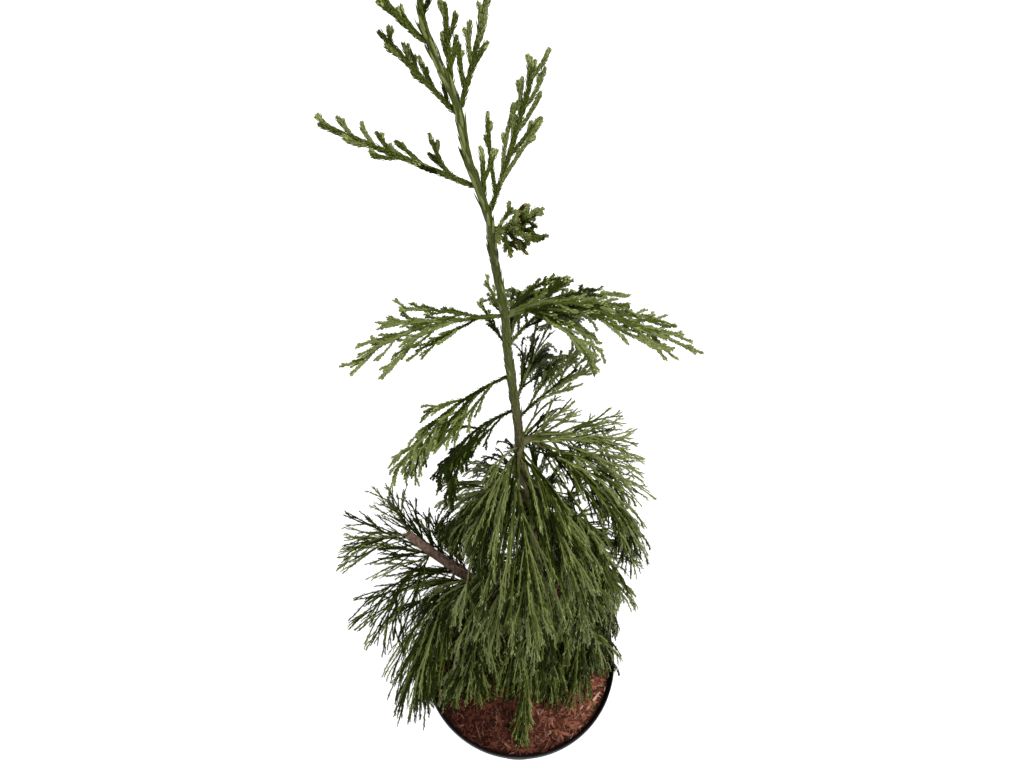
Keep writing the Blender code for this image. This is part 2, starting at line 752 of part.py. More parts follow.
def hanging(name, carrier, at, start, azimuth, radius, height, reach, twigs):
    """A plume whose stem ends plumb at a radius from the pot's axis and a height."""
    tip = heading(azimuth, 0.0) * radius
    tip.z = height
    run = tip - start
    slope = math.degrees(math.atan2(run.z, math.hypot(run.x, run.y)))
    half = max(slope - HANG_FALL, LEAST_BEND)
    length = run.length * math.radians(half) / math.sin(math.radians(half))
    toward = math.degrees(math.atan2(run.y, run.x))
    course = (toward, length, slope + half, slope - half)
    return Plume(name, carrier, at, *course, reach, twigs, SKIRT_THICKNESS, SKIRT_WEEP, 0)


def skirt(crown):
    """Adds the boughs of the weeping skirt, and lists the plumes that hang there."""
    plumes = []
    for ring in RINGS:
        first = len(plumes)
        for index, azimuth in enumerate(ring.azimuths):
            name = f"bough_{ring.name}_{index + 1}"
            height = ring.height + RING_STAGGER * math.sin(GOLDEN_ANGLE * index)
            length = ring.bough_share * hem_radius(azimuth)
            crown.add_limb(Limb(name, height, azimuth, length, RING_RISE, RING_FALL, RING_RADIUS))
            for side, at in ((-1, RING_FIRST_PLUME), (1, 1.0)):
                toward = azimuth + side * RING_SPREAD / 2
                plumes.append(
                    hanging(
                        f"skirt_{ring.name}_{len(plumes) + 1 - first}",
                        name,
                        at,
                        crown.place_along(name, at)[0],
                        toward,
                        ring.hem_share * hem_radius(toward),
                        ring.hem_height + HEM_STAGGER * side,
                        ring.reach,
                        ring.twigs,
                    )
                )
    for index, (azimuth, share) in enumerate(FEET):
        height = FOOT_HEIGHT + RING_STAGGER * math.sin(GOLDEN_ANGLE * index)
        start = crown.place_at_height(height)[0]
        radius = share * hem_radius(azimuth)
        plumes.append(
            hanging(
                f"skirt_foot_{index + 1}",
                "trunk",
                height,
                start,
                azimuth,
                radius,
                HEM_HEIGHT,
                FOOT_REACH,
                FOOT_TWIGS,
            )
        )
    start = crown.place_at_height(TASSEL_HEIGHT)[0]
    plumes.append(
        hanging(
            "skirt_tassel",
            "trunk",
            TASSEL_HEIGHT,
            start,
            TASSEL_AZIMUTH,
            TASSEL_RADIUS,
            TASSEL_HEM,
            FOOT_REACH,
            FOOT_TWIGS,
        )
    )
    return plumes


def main():
    for obj in list(bpy.data.objects):
        bpy.data.objects.remove(obj)
    plant = bpy.data.collections.new("potted_weeping_sequoia")
    cutters = bpy.data.collections.new("cutters")
    shaping = bpy.data.collections.new("shaping")
    for collection in (plant, cutters, shaping):
        bpy.context.scene.collection.children.link(collection)

    plastic = principled("black_plastic", POT_BLACK, 0.45)
    mulch = principled("bark_mulch", MULCH_BROWN, 0.95)
    bark = principled("bark", BARK_BROWN, 0.9)
    fresh = principled("fresh_foliage", FRESH_GREEN, 0.6)
    deep = principled("deep_foliage", DEEP_GREEN, 0.65)

    crown = Crown()
    for limb in LIMBS:
        crown.add_limb(limb)
    plumes = PLUMES + skirt(crown)
    for plume in plumes:
        crown.add_stem(plume)
    crown.settle()

    seats = build_woody_parts(crown, shaping, plant, bark)
    profile = three_sided_profile()
    for plume in plumes:
        build_plume(plume, crown, profile, seats, plant, fresh if plume.weep < DEEP_WEEP else deep)
    bpy.data.objects.remove(profile)
    build_pot(plant, cutters, plastic)
    build_mulch(plant, mulch)


main()
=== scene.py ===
"""Dresses the potted weeping giant sequoia: clad cords of foliage, bark, mulch and pot.

Metres, +Z up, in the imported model's own frame. The crown is grown again by the rule of the
model's source: each mass has one stem, side cords leave it by a swing, close up to its way and
droop, and finer cords stand on those. Small keeled scale leaves clothe every cord in a spiral.
"""

import json
import logging
import math
import zlib
from dataclasses import dataclass, field, replace
from enum import Enum

import bmesh
import bpy
import numpy as np
from mathutils import Matrix, Vector

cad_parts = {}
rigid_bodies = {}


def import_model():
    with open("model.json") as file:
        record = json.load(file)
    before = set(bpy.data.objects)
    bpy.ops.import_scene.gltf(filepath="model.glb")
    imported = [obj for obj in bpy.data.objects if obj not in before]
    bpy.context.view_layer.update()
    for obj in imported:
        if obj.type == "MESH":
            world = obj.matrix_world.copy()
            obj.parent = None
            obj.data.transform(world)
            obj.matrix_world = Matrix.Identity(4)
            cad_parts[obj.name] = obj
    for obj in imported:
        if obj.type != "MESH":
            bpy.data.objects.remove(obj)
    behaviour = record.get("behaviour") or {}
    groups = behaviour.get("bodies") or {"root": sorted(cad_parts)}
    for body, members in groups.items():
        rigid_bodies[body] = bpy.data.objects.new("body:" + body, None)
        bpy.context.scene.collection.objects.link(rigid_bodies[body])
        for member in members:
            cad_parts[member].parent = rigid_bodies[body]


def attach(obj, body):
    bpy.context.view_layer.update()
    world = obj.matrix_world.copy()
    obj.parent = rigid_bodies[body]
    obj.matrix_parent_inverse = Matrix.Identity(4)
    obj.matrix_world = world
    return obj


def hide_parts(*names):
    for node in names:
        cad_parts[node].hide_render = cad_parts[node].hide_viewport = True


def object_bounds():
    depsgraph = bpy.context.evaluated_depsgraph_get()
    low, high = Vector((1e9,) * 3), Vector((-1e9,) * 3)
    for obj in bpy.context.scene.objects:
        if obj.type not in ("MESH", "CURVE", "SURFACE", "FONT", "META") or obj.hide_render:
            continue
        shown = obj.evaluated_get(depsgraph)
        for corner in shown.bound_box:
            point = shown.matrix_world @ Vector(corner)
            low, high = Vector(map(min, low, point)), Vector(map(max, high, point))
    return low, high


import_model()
CAD_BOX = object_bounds()

Array = np.ndarray
Colour = tuple[float, float, float]
Mesh = tuple[Array, Array]
Chance = np.random.Generator
Socket = bpy.types.NodeSocket
Tree = bpy.types.NodeTree
log = logging.getLogger("sequoia")

MOST_TRIANGLES = 190_000
NO_LENGTH = 1e-6
GOLDEN_ANGLE = math.radians(137.5)
UP = np.array([0.0, 0.0, 1.0])

# Heights and radii of the pot and its filling, as in the source
POT_HEIGHT = 0.190
POT_RIM_RADIUS = 0.115
POT_NECK_RADIUS = 0.1128
POT_BASE_RADIUS = 0.077
POT_WALL = 0.0018
POT_FLOOR = 0.0025
RIM_DEPTH = 0.009
MULCH_TOP = 0.176

# Trunk: height over the ground, sideways place and radius, as in the source
TRUNK_COURSE = (
    (MULCH_TOP, 0.0100, 0.0088),
    (0.300, 0.0125, 0.0080),
    (0.450, 0.0140, 0.0066),
    (0.550, 0.0115, 0.0056),
    (0.605, -0.0010, 0.0047),
    (0.670, -0.0050, 0.0041),
    (0.740, -0.0115, 0.0036),
    (0.780, -0.0135, 0.0033),
    (0.820, -0.0188, 0.0030),
    (0.850, -0.0212, 0.0028),
    (0.885, -0.0302, 0.0026),
    (0.915, -0.0343, 0.0024),
    (0.932, -0.0404, 0.0021),
    (0.950, -0.0462, 0.0019),
)
ROOT_FLARE = 0.0065
ROOT_FLARE_HEIGHT = 0.010
LIMB_TIP_SHARE = 0.72
LIMB_POINTS = 48

# A way is steep over the first of these sines, and plumb under the second of these cosines
STEEP = 0.9
PLUMB = 0.2
ANY_TURN = (0.0, 6.28)

# The rule of growth, as in the source. A stem starts SEAT of its carrier's radius from the axis
SEAT = 0.6
LEAST_SINE_SQUARED = 0.05
TWIG_CLOSING = 0.45
SHORTER_TRY = 0.78
CLOSER_TRY = 0.86
TRIES = 4
PLACE_SPREAD = (-0.3, 0.3)
FLAT_SWAY = (-34, 34)
LENGTH_SPREAD = (0.72, 1.18)
THICKNESS_SPREAD = (0.9, 1.12)
STEM_TAPER = 0.25
STEM_CLUB = 0.5
CLUB_COURSE = (0.35, 0.80, 1.05)
CLEAR_SHARE = 0.7
ROOT_DEPTH = 0.5
TWIG_CLEARANCE = 0.0006
GROUND_CLEARANCE = 0.004
SAMPLE_STEP = 0.003
SIDE_ROOM = 0.003


@dataclass(frozen=True)
class Limb:
    """A bough: it leaves the trunk at a height and an azimuth, and its slope turns from rise to fall."""

    name: str
    height: float
    azimuth: float
    length: float
    rise: float
    fall: float
    radius: float


class Habit(Enum):
    """How a mass of foliage is built up."""

    LEADER = "a stout arm with slim shoots along its upper side"
    RISING = "an upright spray with long side cords"
    TUFT = "a congested tuft of swollen clubs"
    FAN = "a flattened fan of forward cords"
    SPRAY = "a loose spray of fine forward whips"
    CURTAIN = "long thin hanging whips"


@dataclass(frozen=True)
class Plume:
    """A mass of foliage: where its stem stands on its carrier, its course, and how it grows.

    light is how much lighter its sprays are dealt: partly their own growth, and partly painted light on
    masses that the light falls on and painted shade, below zero, on masses in the shade. hangs sets most
    cords of a flat mass on its front side.
    """

    name: str
    carrier: str
    at: float
    azimuth: float
    length: float
    rise: float
    fall: float
    reach: float
    thickness: float
    weep: float
    habit: Habit
    light: float = 0.0
    hangs: bool = False


@dataclass(frozen=True)
class Ring:
    """A whorl of short boughs that carries part of the skirt."""

    name: str
    height: float
    azimuths: tuple[int, ...]
    bough_share: float
    hem_share: float
    hem_height: float
    reach: float


RIGHT_MIDDLE = "bough_right_middle"
RIGHT_LOW = "bough_right_low"
FRONT_LOW = "bough_front_low"
WOODY = "bough_left_woody"
LIMBS = (
    Limb(RIGHT_MIDDLE, 0.777, 24, 0.034, 8, -10, 0.0020),
    Limb(RIGHT_LOW, 0.640, 32, 0.028, 4, -34, 0.0026),
    Limb(FRONT_LOW, 0.636, -95, 0.022, 26, -24, 0.0026),
    Limb(WOODY, 0.315, 166, 0.178, 36, 52, 0.0052),
)

LEADER, RISING, TUFT, FAN, SPRAY, CURTAIN = Habit
# A mass's light, the number after its habit, paints light and shade besides its own growth: middle_left_dark
# and the masses on the woody bough are dealt darker greens for the shade they lie in, those on the right
# lighter ones for the light they get
PLUMES = (
    Plume("tip_leading", "trunk", 1.0, 113, 0.057, 75, 87, 0.015, 0.0021, 0.0, LEADER, 0.2),
    Plume("tip_left", "trunk", 0.944, 180, 0.037, 40, 62, 0.013, 0.0020, 0.0, LEADER, 0.2),
    Plume("top_left", "trunk", 0.910, 173, 0.048, 47, 51, 0.014, 0.0020, 0.0, LEADER, 0.2),
    Plume("top_inner", "trunk", 0.922, 98, 0.034, 63, 77, 0.009, 0.0018, 0.0, RISING, 0.18),
    Plume("top_right", "trunk", 0.912, 65, 0.050, 43, 61, 0.011, 0.0020, 0.0, RISING, 0.26),
    Plume("high_left", "trunk", 0.870, 177, 0.080, 24, 24, 0.018, 0.0022, 0.0, LEADER, 0.2),
    Plume("high_right", "trunk", 0.852, 52, 0.077, 54, 68, 0.018, 0.0021, 0.0, RISING, 0.32),
    Plume("high_inner", "trunk", 0.860, 92, 0.022, 60, 74, 0.010, 0.0019, 0.0, RISING, 0.22),
    Plume("high_cluster", "trunk", 0.844, -19, 0.018, 8, 30, 0.016, 0.0024, 0.0, TUFT, 0.08),
    Plume("middle_left", "trunk", 0.777, 180, 0.086, -5, -29, 0.028, 0.0021, 0.1, FAN, 0.1),
    Plume("middle_right", RIGHT_MIDDLE, 1.0, -1, 0.081, -16, -30, 0.028, 0.0023, 0.1, FAN, 0.15),
    Plume("middle_right_upper", RIGHT_MIDDLE, 0.52, 42, 0.076, -15, -43, 0.026, 0.0021, 0.1, FAN, 0.08),
    Plume("middle_right_hanging", RIGHT_MIDDLE, 0.34, -12, 0.045, -14, -50, 0.024, 0.0019, 0.3, FAN, 0.1),
    Plume("middle_right_rising", "trunk", 0.672, 39, 0.055, 20, 4, 0.024, 0.0019, 0.0, FAN, 0.1),
    Plume("middle_back_right", "trunk", 0.748, 60, 0.114, 2, -70, 0.034, 0.0020, 0.3, FAN, 0.12),
    Plume("middle_back", "trunk", 0.735, 88, 0.098, 9, -41, 0.026, 0.0021, 0.3, FAN, 0.1),
    Plume("middle_left_long", "trunk", 0.721, -164, 0.097, -18, -62, 0.030, 0.0021, 0.2, FAN, 0.02, True),
    Plume("middle_left_dark", "trunk", 0.683, 177, 0.107, -35, -85, 0.030, 0.0020, 0.3, FAN, -0.60, True),
    Plume("middle_back_low", "trunk", 0.690, 75, 0.125, 0, -74, 0.034, 0.0023, 0.4, CURTAIN),
    Plume("low_right_upper", RIGHT_LOW, 1.0, 23, 0.081, -27, -53, 0.032, 0.0023, 0.4, SPRAY, 0.28),
    Plume("low_right_outer", RIGHT_LOW, 0.60, 10, 0.125, -34, -72, 0.038, 0.0023, 0.5, SPRAY, 0.30),
    Plume("low_right_front", RIGHT_LOW, 0.30, -9, 0.172, -34, -80, 0.036, 0.0023, 0.5, CURTAIN, 0.14),
    Plume("low_right_hanging", "trunk", 0.596, -24, 0.164, -33, -87, 0.034, 0.0023, 0.6, CURTAIN, 0.12),
    Plume("front_long", FRONT_LOW, 1.0, -82, 0.120, -33, -81, 0.040, 0.0023, 0.5, CURTAIN, 0.18),
    Plume("front_right", FRONT_LOW, 0.66, -45, 0.187, -42, -90, 0.036, 0.0023, 0.6, CURTAIN, 0.06),
    Plume("front_left", FRONT_LOW, 0.42, -125, 0.141, -30, -86, 0.040, 0.0023, 0.6, CURTAIN, 0.06),
    Plume("woody_left_out", WOODY, 1.0, -174, 0.048, 4, -30, 0.038, 0.0023, 0.4, SPRAY, -0.32),
    Plume("woody_left_up", WOODY, 0.92, 143, 0.054, 54, 68, 0.024, 0.0018, 0.0, SPRAY, -0.14),
    Plume("woody_left_down", WOODY, 0.80, -123, 0.073, 26, -32, 0.042, 0.0023, 0.5, SPRAY, -0.38),
    Plume("woody_left_hanging", WOODY, 0.60, -113, 0.135, 6, -84, 0.046, 0.0023, 0.5, CURTAIN, -0.22),
)

# The weeping skirt, as in the source
SKIRT_REACH = 0.100
SKIRT_FRONT_CUT = 0.058
SKIRT_LEFT_SPREAD = 0.018
SKIRT_THICKNESS = 0.0025
SKIRT_WEEP = 0.7
HANG_FALL = -88.0
LEAST_BEND = 4.0
HEM_HEIGHT = MULCH_TOP + 0.042
RINGS = (
    Ring("upper", 0.548, (152,), 0.40, 0.56, 0.440, 0.038),
    Ring("back", 0.530, (100,), 0.42, 0.88, 0.290, 0.044),
    Ring("middle", 0.452, (-80, -10, 50, -152), 0.56, 0.94, 0.240, 0.047),
)
RING_RISE = 26
RING_FALL = -30
RING_RADIUS = 0.0034
RING_SPREAD = 38
RING_STAGGER = 0.012
RING_FIRST_PLUME = 0.66
HEM_STAGGER = 0.010
FEET = ((-146, 0.98), (-51, 0.96), (-8, 0.94), (140, 0.75))
FOOT_HEIGHT = 0.352
FOOT_REACH = 0.040
TASSEL_HEIGHT = 0.292
TASSEL_AZIMUTH = -88
TASSEL_RADIUS = 0.091
TASSEL_HEM = MULCH_TOP + 0.008
TASSEL_REACH = 0.026

# How much lighter the skirt and its tassel are dealt: the skirt darker as painted shade between its hanging
# whips, the tassel lighter for its yellow-green cords
SKIRT_LIGHT = -0.11
TASSEL_LIGHT = 0.22

# Mulch is fully in the painted shadow of the foliage at the second and out of it at the first of these places
# along X
SHADOW_REACH = (0.075, -0.045)

# The red, green and blue of mulch in that painted shadow, as shares of the dark brown's
SHADOW_SHARES = (0.32, 0.26, 0.25)


class LeafForm(Enum):
    """Small meshes of a scale leaf, from the stoutest to the simplest."""

    BOAT = "keeled boat, twelve triangles"
    KEEL = "keeled lozenge, six triangles"
    AWL = "awl, four triangles"


@dataclass(frozen=True)
class Scale:
    """A scale leaf: its sizes, how far it stands off its cord, and how close leaves follow."""

    form: LeafForm
    length: float
    width: float
    keel: float
    lift: float
    pitch: float


@dataclass(frozen=True)
class Order:
    """How the cords of one order stand on those that carry them.

    spacing is in metres along the carrier, first and last are shares of its length. A cord's
    length is a share of the plume's reach, and falls off by shortening towards the carrier's tip.
    Its radius is a share of the stem's.
    """

    spacing: float
    first: float
    last: float
    length: float
    shortening: float
    swing: tuple[float, float]
    thickness: float
    points: int


@dataclass(frozen=True)
class Growth:
    """How a habit grows.

    orders are its side cords, leaf clothes them. A cord loses taper of its radius towards its
    tip and swells by club near it. flat sets side cords in two rows, core is the bare cord's
    share of the clad radius, sides are the sides of that core, stem_points are the points of a
    stem, wander is how unsteady a way is, new_growth is how many metres of a bright cord's tip
    are pale, rise is how far cords turn up, and reach widens the space a little for the leaves
    that the source leaves out. stout is the stem's share of the source's, which stands for the
    cords beside it too, and weep is the share of the mass's own weep. Of two rows every lower-th
    cord stands on the shaded side, and contrast is how unlike neighbours are in tone.
    """

    orders: tuple[Order, ...]
    leaf: Scale
    taper: float
    club: float
    flat: bool
    core: float
    sides: int
    stem_points: int
    wander: float
    new_growth: float
    rise: float = 0.0
    reach: float = 1.0
    stout: float = 0.8
    weep: float = 1.0
    lower: int = 2
    contrast: float = 0.18


SHOOT_LEAF = Scale(LeafForm.BOAT, 0.0040, 0.0020, 0.00050, 8, 0.00046)
GROWTH = {
    Habit.LEADER: Growth(
        orders=(
            Order(0.0056, 0.07, 0.90, 1.25, 0.66, (34, 56), 0.50, 10),
            Order(0.0070, 0.36, 0.90, 0.30, 0.06, (26, 42), 0.46, 5),
        ),
        leaf=SHOOT_LEAF, taper=0.20, club=0.30, flat=True, core=0.74, sides=8,
        stem_points=24, wander=0.05, new_growth=0.0042, rise=0.36, stout=0.70, lower=3, contrast=0.08,
    ),
    Habit.RISING: Growth(
        orders=(
            Order(0.0068, 0.06, 0.95, 2.20, 1.55, (16, 32), 0.56, 12),
            Order(0.0080, 0.30, 0.92, 0.44, 0.14, (22, 38), 0.50, 6),
        ),
        leaf=SHOOT_LEAF, taper=0.20, club=0.26, flat=True, core=0.74, sides=8,
        stem_points=24, wander=0.04, new_growth=0.0045, rise=0.10, stout=0.72, contrast=0.10,
    ),
    Habit.TUFT: Growth(
        orders=(
            Order(0.0009, 0.05, 1.00, 0.92, 0.15, (30, 85), 0.46, 8),
            Order(0.0030, 0.30, 0.95, 0.46, 0.08, (28, 52), 0.42, 6),
        ),
        leaf=Scale(LeafForm.BOAT, 0.0026, 0.0017, 0.00055, 16, 0.00042),
        taper=0.15, club=0.42, flat=False, core=0.74, sides=8,
        stem_points=12, wander=0.09, new_growth=0.0028, contrast=0.14,
    ),
    Habit.FAN: Growth(
        orders=(
            Order(0.0070, 0.06, 0.97, 1.95, 1.05, (18, 40), 0.58, 11),
            Order(0.0050, 0.14, 0.94, 0.64, 0.22, (15, 30), 0.46, 7),
            Order(0.0072, 0.34, 0.88, 0.26, 0.06, (16, 30), 0.44, 4),
        ),
        leaf=Scale(LeafForm.KEEL, 0.0036, 0.0016, 0.00050, 13, 0.00078),
        taper=0.24, club=0.18, flat=True, core=0.70, sides=5,
        stem_points=24, wander=0.035, new_growth=0.0045, reach=1.08, contrast=0.14,
    ),
    Habit.SPRAY: Growth(
        orders=(
            Order(0.0049, 0.04, 0.97, 1.75, 0.85, (22, 48), 0.50, 9),
            Order(0.0086, 0.12, 0.90, 0.95, 0.36, (14, 34), 0.42, 6),
            Order(0.0110, 0.26, 0.88, 0.34, 0.08, (14, 32), 0.36, 4),
        ),
        leaf=Scale(LeafForm.AWL, 0.0048, 0.0013, 0.00062, 15, 0.00250),
        taper=0.38, club=0.0, flat=False, core=0.80, sides=4,
        stem_points=26, wander=0.040, new_growth=0.008, weep=0.30,
    ),
    Habit.CURTAIN: Growth(
        orders=(
            Order(0.0035, 0.03, 0.97, 2.45, 0.95, (9, 32), 0.52, 8),
            Order(0.0110, 0.12, 0.84, 1.15, 0.46, (6, 15), 0.42, 5),
            Order(0.0260, 0.30, 0.80, 0.34, 0.08, (8, 18), 0.34, 3),
        ),
        leaf=Scale(LeafForm.AWL, 0.0050, 0.0013, 0.00060, 13, 0.00310),
        taper=0.40, club=0.0, flat=False, core=0.80, sides=3,
        stem_points=28, wander=0.014, new_growth=0.008, reach=1.10, contrast=0.31,
    ),
}

# The trunk is clad in long scales above this height. They are woody at first, and some are fresh high up
CLAD_FROM = 0.615
LIMB_SCALE = Scale(LeafForm.BOAT, 0.0115, 0.0022, 0.00050, 3.2, 0.00095)
LIMB_SCALE_STEP = 0.004
LIMB_SCALE_ROOT = 0.73
TWIG_BELOW = 0.68
FRESH_ABOVE = 0.76
FRESH_SHARE = 0.36
LEAST_LEAVES = 5

# How leaves vary in angle, lift and size: round a cord, and on a limb
LEAF_TURN = (-0.25, 0.25)
LEAF_LIFT = (0.6, 1.4)
LEAF_SIZE = (0.88, 1.12)
LIMB_TURN = (-0.6, 0.6)
LIMB_SLEW = 0.05
LIMB_LIFT = (0.3, 1.9)
LIMB_SIZE = (0.7, 1.2)
AGE_JITTER = 0.045

# Of a leaf's size the first share is even and the second follows its cord's bulk
BULK_SHARES = (0.45, 0.55)
BULK_LIMITS = (0.5, 1.3)

# Leaves shorten over the last part of a leaf's length, and close over CLOSING_RUN metres of the tip
TIP_ROOM = 0.4
SHORTEST = 0.5
CLOSING = (0.35, 0.65)
CLOSING_RUN = 0.003

# The share of cords with this year's leaves, which a mass's light adds to
YOUNG_SHARE = 0.30
YOUNG_LIMITS = (0.1, 0.7)

# A spray's level is under the first of these in the deepest tone, painted shade, and over the second in the
# fresh one, which is partly painted light
TONE_STEPS = (0.40, 0.70)
TONE_JITTER = 0.05

# Cords that stand on the bare part of a limb, from the trunk to a hanging mass
COLLAR_RUN = 0.045
COLLAR_POINTS = 12
COLLAR_SPACING = 0.0030
COLLAR_SWING = (24, 62)
FLAT_COLLAR = 2.0
WOODY_COLLAR = 0.6

# How light stems, collars and the cords on them are dealt, finer and outer cords lighter for younger growth
# and painted light, and how much a spray's place in its mass adds as painted light on its outer and upper
# side and painted shade inside it
STEM_GLOW = 0.30
COLLAR_GLOW = 0.22
ORDER_GLOW = 0.07
TIP_GLOW = 0.16
FACING_LIGHT = 0.26
FACING_UP = 0.8
FACING_GAIN = 2.0

# Of a mass that hangs to its front, every so manieth cord stands on the other side
MOSTLY_ONE_SIDE = 4

# The woody bough's bare run and knot, as shares of its length, and the clear space before it
BARE_RUN = (0.56, 0.97)
KNOT = 0.60
CLEAR_WAY = (0.08, -0.43, 0.90)
CLEAR_DEPTH = 0.240
CLEAR_RADIUS = 0.0085
BARE_STEPS = 12
# Its own sprays may use the first two layers of that space
OWN_CLEARING = 2 * BARE_STEPS


def unit(vectors: Array) -> Array:
    """Each vector divided by its own length."""
    return vectors / np.maximum(np.linalg.norm(vectors, axis=-1, keepdims=True), 1e-12)


def smooth(values: Array, low: float, high: float) -> Array:
    """0 below low, 1 above high, and 3t^2 - 2t^3 between."""
    share = np.clip((values - low) / (high - low), 0.0, 1.0)
    return share * share * (3.0 - 2.0 * share)


def heading(azimuth: Array | float, slope: Array | float) -> Array:
    """The unit vector of an azimuth and a slope in degrees: (cos s cos a, cos s sin a, sin s)."""
    turn, lift = np.radians(azimuth), np.radians(slope)
    return np.stack(
        np.broadcast_arrays(np.cos(lift) * np.cos(turn), np.cos(lift) * np.sin(turn), np.sin(lift)),
        axis=-1,
    )


def drooping_path(start: Array, azimuth: float, length: float, rise: float, fall: float,
                  points: int) -> Array:
    """A path whose slope turns evenly from rise to fall: the running sum of its short steps.

    Args:
        start: its first point.
        azimuth: the way it points, in degrees.
        length: its length.
        rise: its slope at the start, in degrees.
        fall: its slope at the end, in degrees.
        points: how many points it has.

    Returns:
        The points, one a row.
    """
    middles = (np.arange(points - 1) + 0.5) / (points - 1)
    steps = heading(azimuth, rise + (fall - rise) * middles) * (length / (points - 1))
    return np.vstack([start, start + np.cumsum(steps, axis=0)])


def catmull_rom(rows: Array, steps: int) -> Array:
    """A Catmull-Rom curve through rows of numbers.

    Args:
        rows: the numbers at each knot.
        steps: points to each span.

    Returns:
        The rows of the curve, the last knot included.
    """
    padded = np.vstack([2 * rows[0] - rows[1], rows, 2 * rows[-1] - rows[-2]])
    share = (np.arange(steps) / steps)[:, None]
    spans = [
        0.5 * (
            2 * b
            + (c - a) * share
            + (2 * a - 5 * b + 4 * c - d) * share**2
            + (3 * b - a - 3 * c + d) * share**3
        )
        for a, b, c, d in zip(padded, padded[1:], padded[2:], padded[3:])
    ]
    return np.vstack([*spans, rows[-1:]])


def value_noise(places: Array, seed: int) -> Array:
    """Smooth noise from -1 to 1: hashed corner values of a unit lattice, blended by 3t^2 - 2t^3.

    Args:
        places: points, three numbers each.
        seed: picks one of many fields.

    Returns:
        One number for each point.
    """
    cell = np.floor(places).astype(np.int64)
    share = places - cell
    share = share * share * (3.0 - 2.0 * share)
    total = np.zeros(places.shape[:-1])
    for corner in np.ndindex(2, 2, 2):
        offset = np.array(corner)
        key = (cell + offset) @ np.array([73856093, 19349663, 83492791]) + seed * 2654435761
        key = (key ^ (key >> 13)) * 1274126177 & 0xFFFFFFFF
        value = ((key ^ (key >> 16)) & 0xFFFF) / 32767.5 - 1.0
        total += value * np.prod(np.where(offset, share, 1.0 - share), axis=-1)
    return total


def path_lengths(paths: Array) -> Array:
    """The length of each path. The last axis is the coordinates, and the one before it the points."""
    return np.linalg.norm(np.diff(paths, axis=-2), axis=-1).sum(axis=-1)


def dealt_out(count: Array) -> tuple[Array, Array, Array]:
    """Numbers things that are dealt out by count: each one's owner, its number there, and their count."""
    which = np.repeat(np.arange(len(count)), count)
    return which, np.arange(len(which)) - np.repeat(np.cumsum(count) - count, count), count[which]


def resample(path: Array, step: float = SAMPLE_STEP) -> Array:
    """Points about a step apart along a path."""
    along = np.concatenate([[0.0], np.cumsum(np.linalg.norm(np.diff(path, axis=0), axis=1))])
    wanted = np.linspace(0.0, along[-1], max(2, int(along[-1] / step) + 1))
    return np.stack([np.interp(wanted, along, path[:, k]) for k in range(3)], axis=1)


def along_paths(values: Array, which: Array, share: Array) -> Array:
    """Reads values kept at even places along many paths.

    Args:
        values: (paths, points, ...) numbers.
        which: the path of each reading.
        share: the place of each reading, from 0 to 1.

    Returns:
        One value for each reading, blended between the two nearest points.
    """
    place = np.clip(share, 0.0, 1.0) * (values.shape[1] - 1)
    low = np.minimum(place.astype(int), values.shape[1] - 2)
    part = (place - low).reshape((-1,) + (1,) * (values.ndim - 2))
    return values[which, low] * (1.0 - part) + values[which, low + 1] * part


def path_frames(paths: Array) -> tuple[Array, Array, Array]:
    """Ways, normals and sides along many paths: each normal is the last one less its part along the way.

    Args:
        paths: (paths, points, 3) places.

    Returns:
        Three arrays of the same shape.
    """
    ways = np.empty_like(paths)
    ways[:, 1:-1] = paths[:, 2:] - paths[:, :-2]
    ways[:, 0] = paths[:, 1] - paths[:, 0]
    ways[:, -1] = paths[:, -1] - paths[:, -2]
    ways = unit(ways)
    normals = np.empty_like(paths)
    steep = np.abs(ways[:, 0] @ UP) > STEEP
    helper = np.where(steep[:, None], np.array([1.0, 0.0, 0.0]), UP)
    normal = unit(np.cross(ways[:, 0], helper))
    for index in range(paths.shape[1]):
        way = ways[:, index]
        normal = unit(normal - way * np.sum(normal * way, axis=1, keepdims=True))
        normals[:, index] = normal
    return ways, normals, np.cross(ways, normals)


def grid_faces(rows: int, columns: int) -> Array:
    """The quads of a grid that closes round its columns, as two triangles each."""
    row, column = np.mgrid[0 : rows - 1, 0:columns]
    a = row * columns + column
    b = row * columns + (column + 1) % columns
    c, d = b + columns, a + columns
    return np.stack([np.stack([a, b, c], -1), np.stack([a, c, d], -1)], -2).reshape(-1, 3)


def tube_faces(rows: int, columns: int) -> Array:
    """A closed grid and a fan from each end ring to a pole; the two poles follow the grid's points."""
    near = np.arange(columns)
    after = (near + 1) % columns
    far = (rows - 1) * columns
    root = np.stack([np.full(columns, rows * columns), after, near], axis=1)
    end = np.stack([np.full(columns, rows * columns + 1), near + far, after + far], axis=1)
    return np.vstack([grid_faces(rows, columns), root, end])


def circle(around: int) -> Array:
    """Even angles round a full turn."""
    return 2.0 * np.pi * np.arange(around) / around


def turned(radius: Array, height: Array | float, around: int) -> Array:
    """Rings about the Z axis, (r cos a, r sin a, z) for each radius and height."""
    angle = circle(around)
    return np.stack(np.broadcast_arrays(radius * np.cos(angle), radius * np.sin(angle), height), axis=-1)


def rings_about(paths: Array, around: int) -> tuple[Array, Array]:
    """Unit rings square to many paths, normal cos a + side sin a.

    Args:
        paths: (paths, points, 3) places.
        around: points to each ring.

    Returns:
        The ways along the paths, and the (paths, points, around, 3) ring points.
    """
    ways, normals, sides = path_frames(paths)
    angle = circle(around)
    ring = normals[:, :, None] * np.cos(angle)[:, None] + sides[:, :, None] * np.sin(angle)[:, None]
    return ways, ring


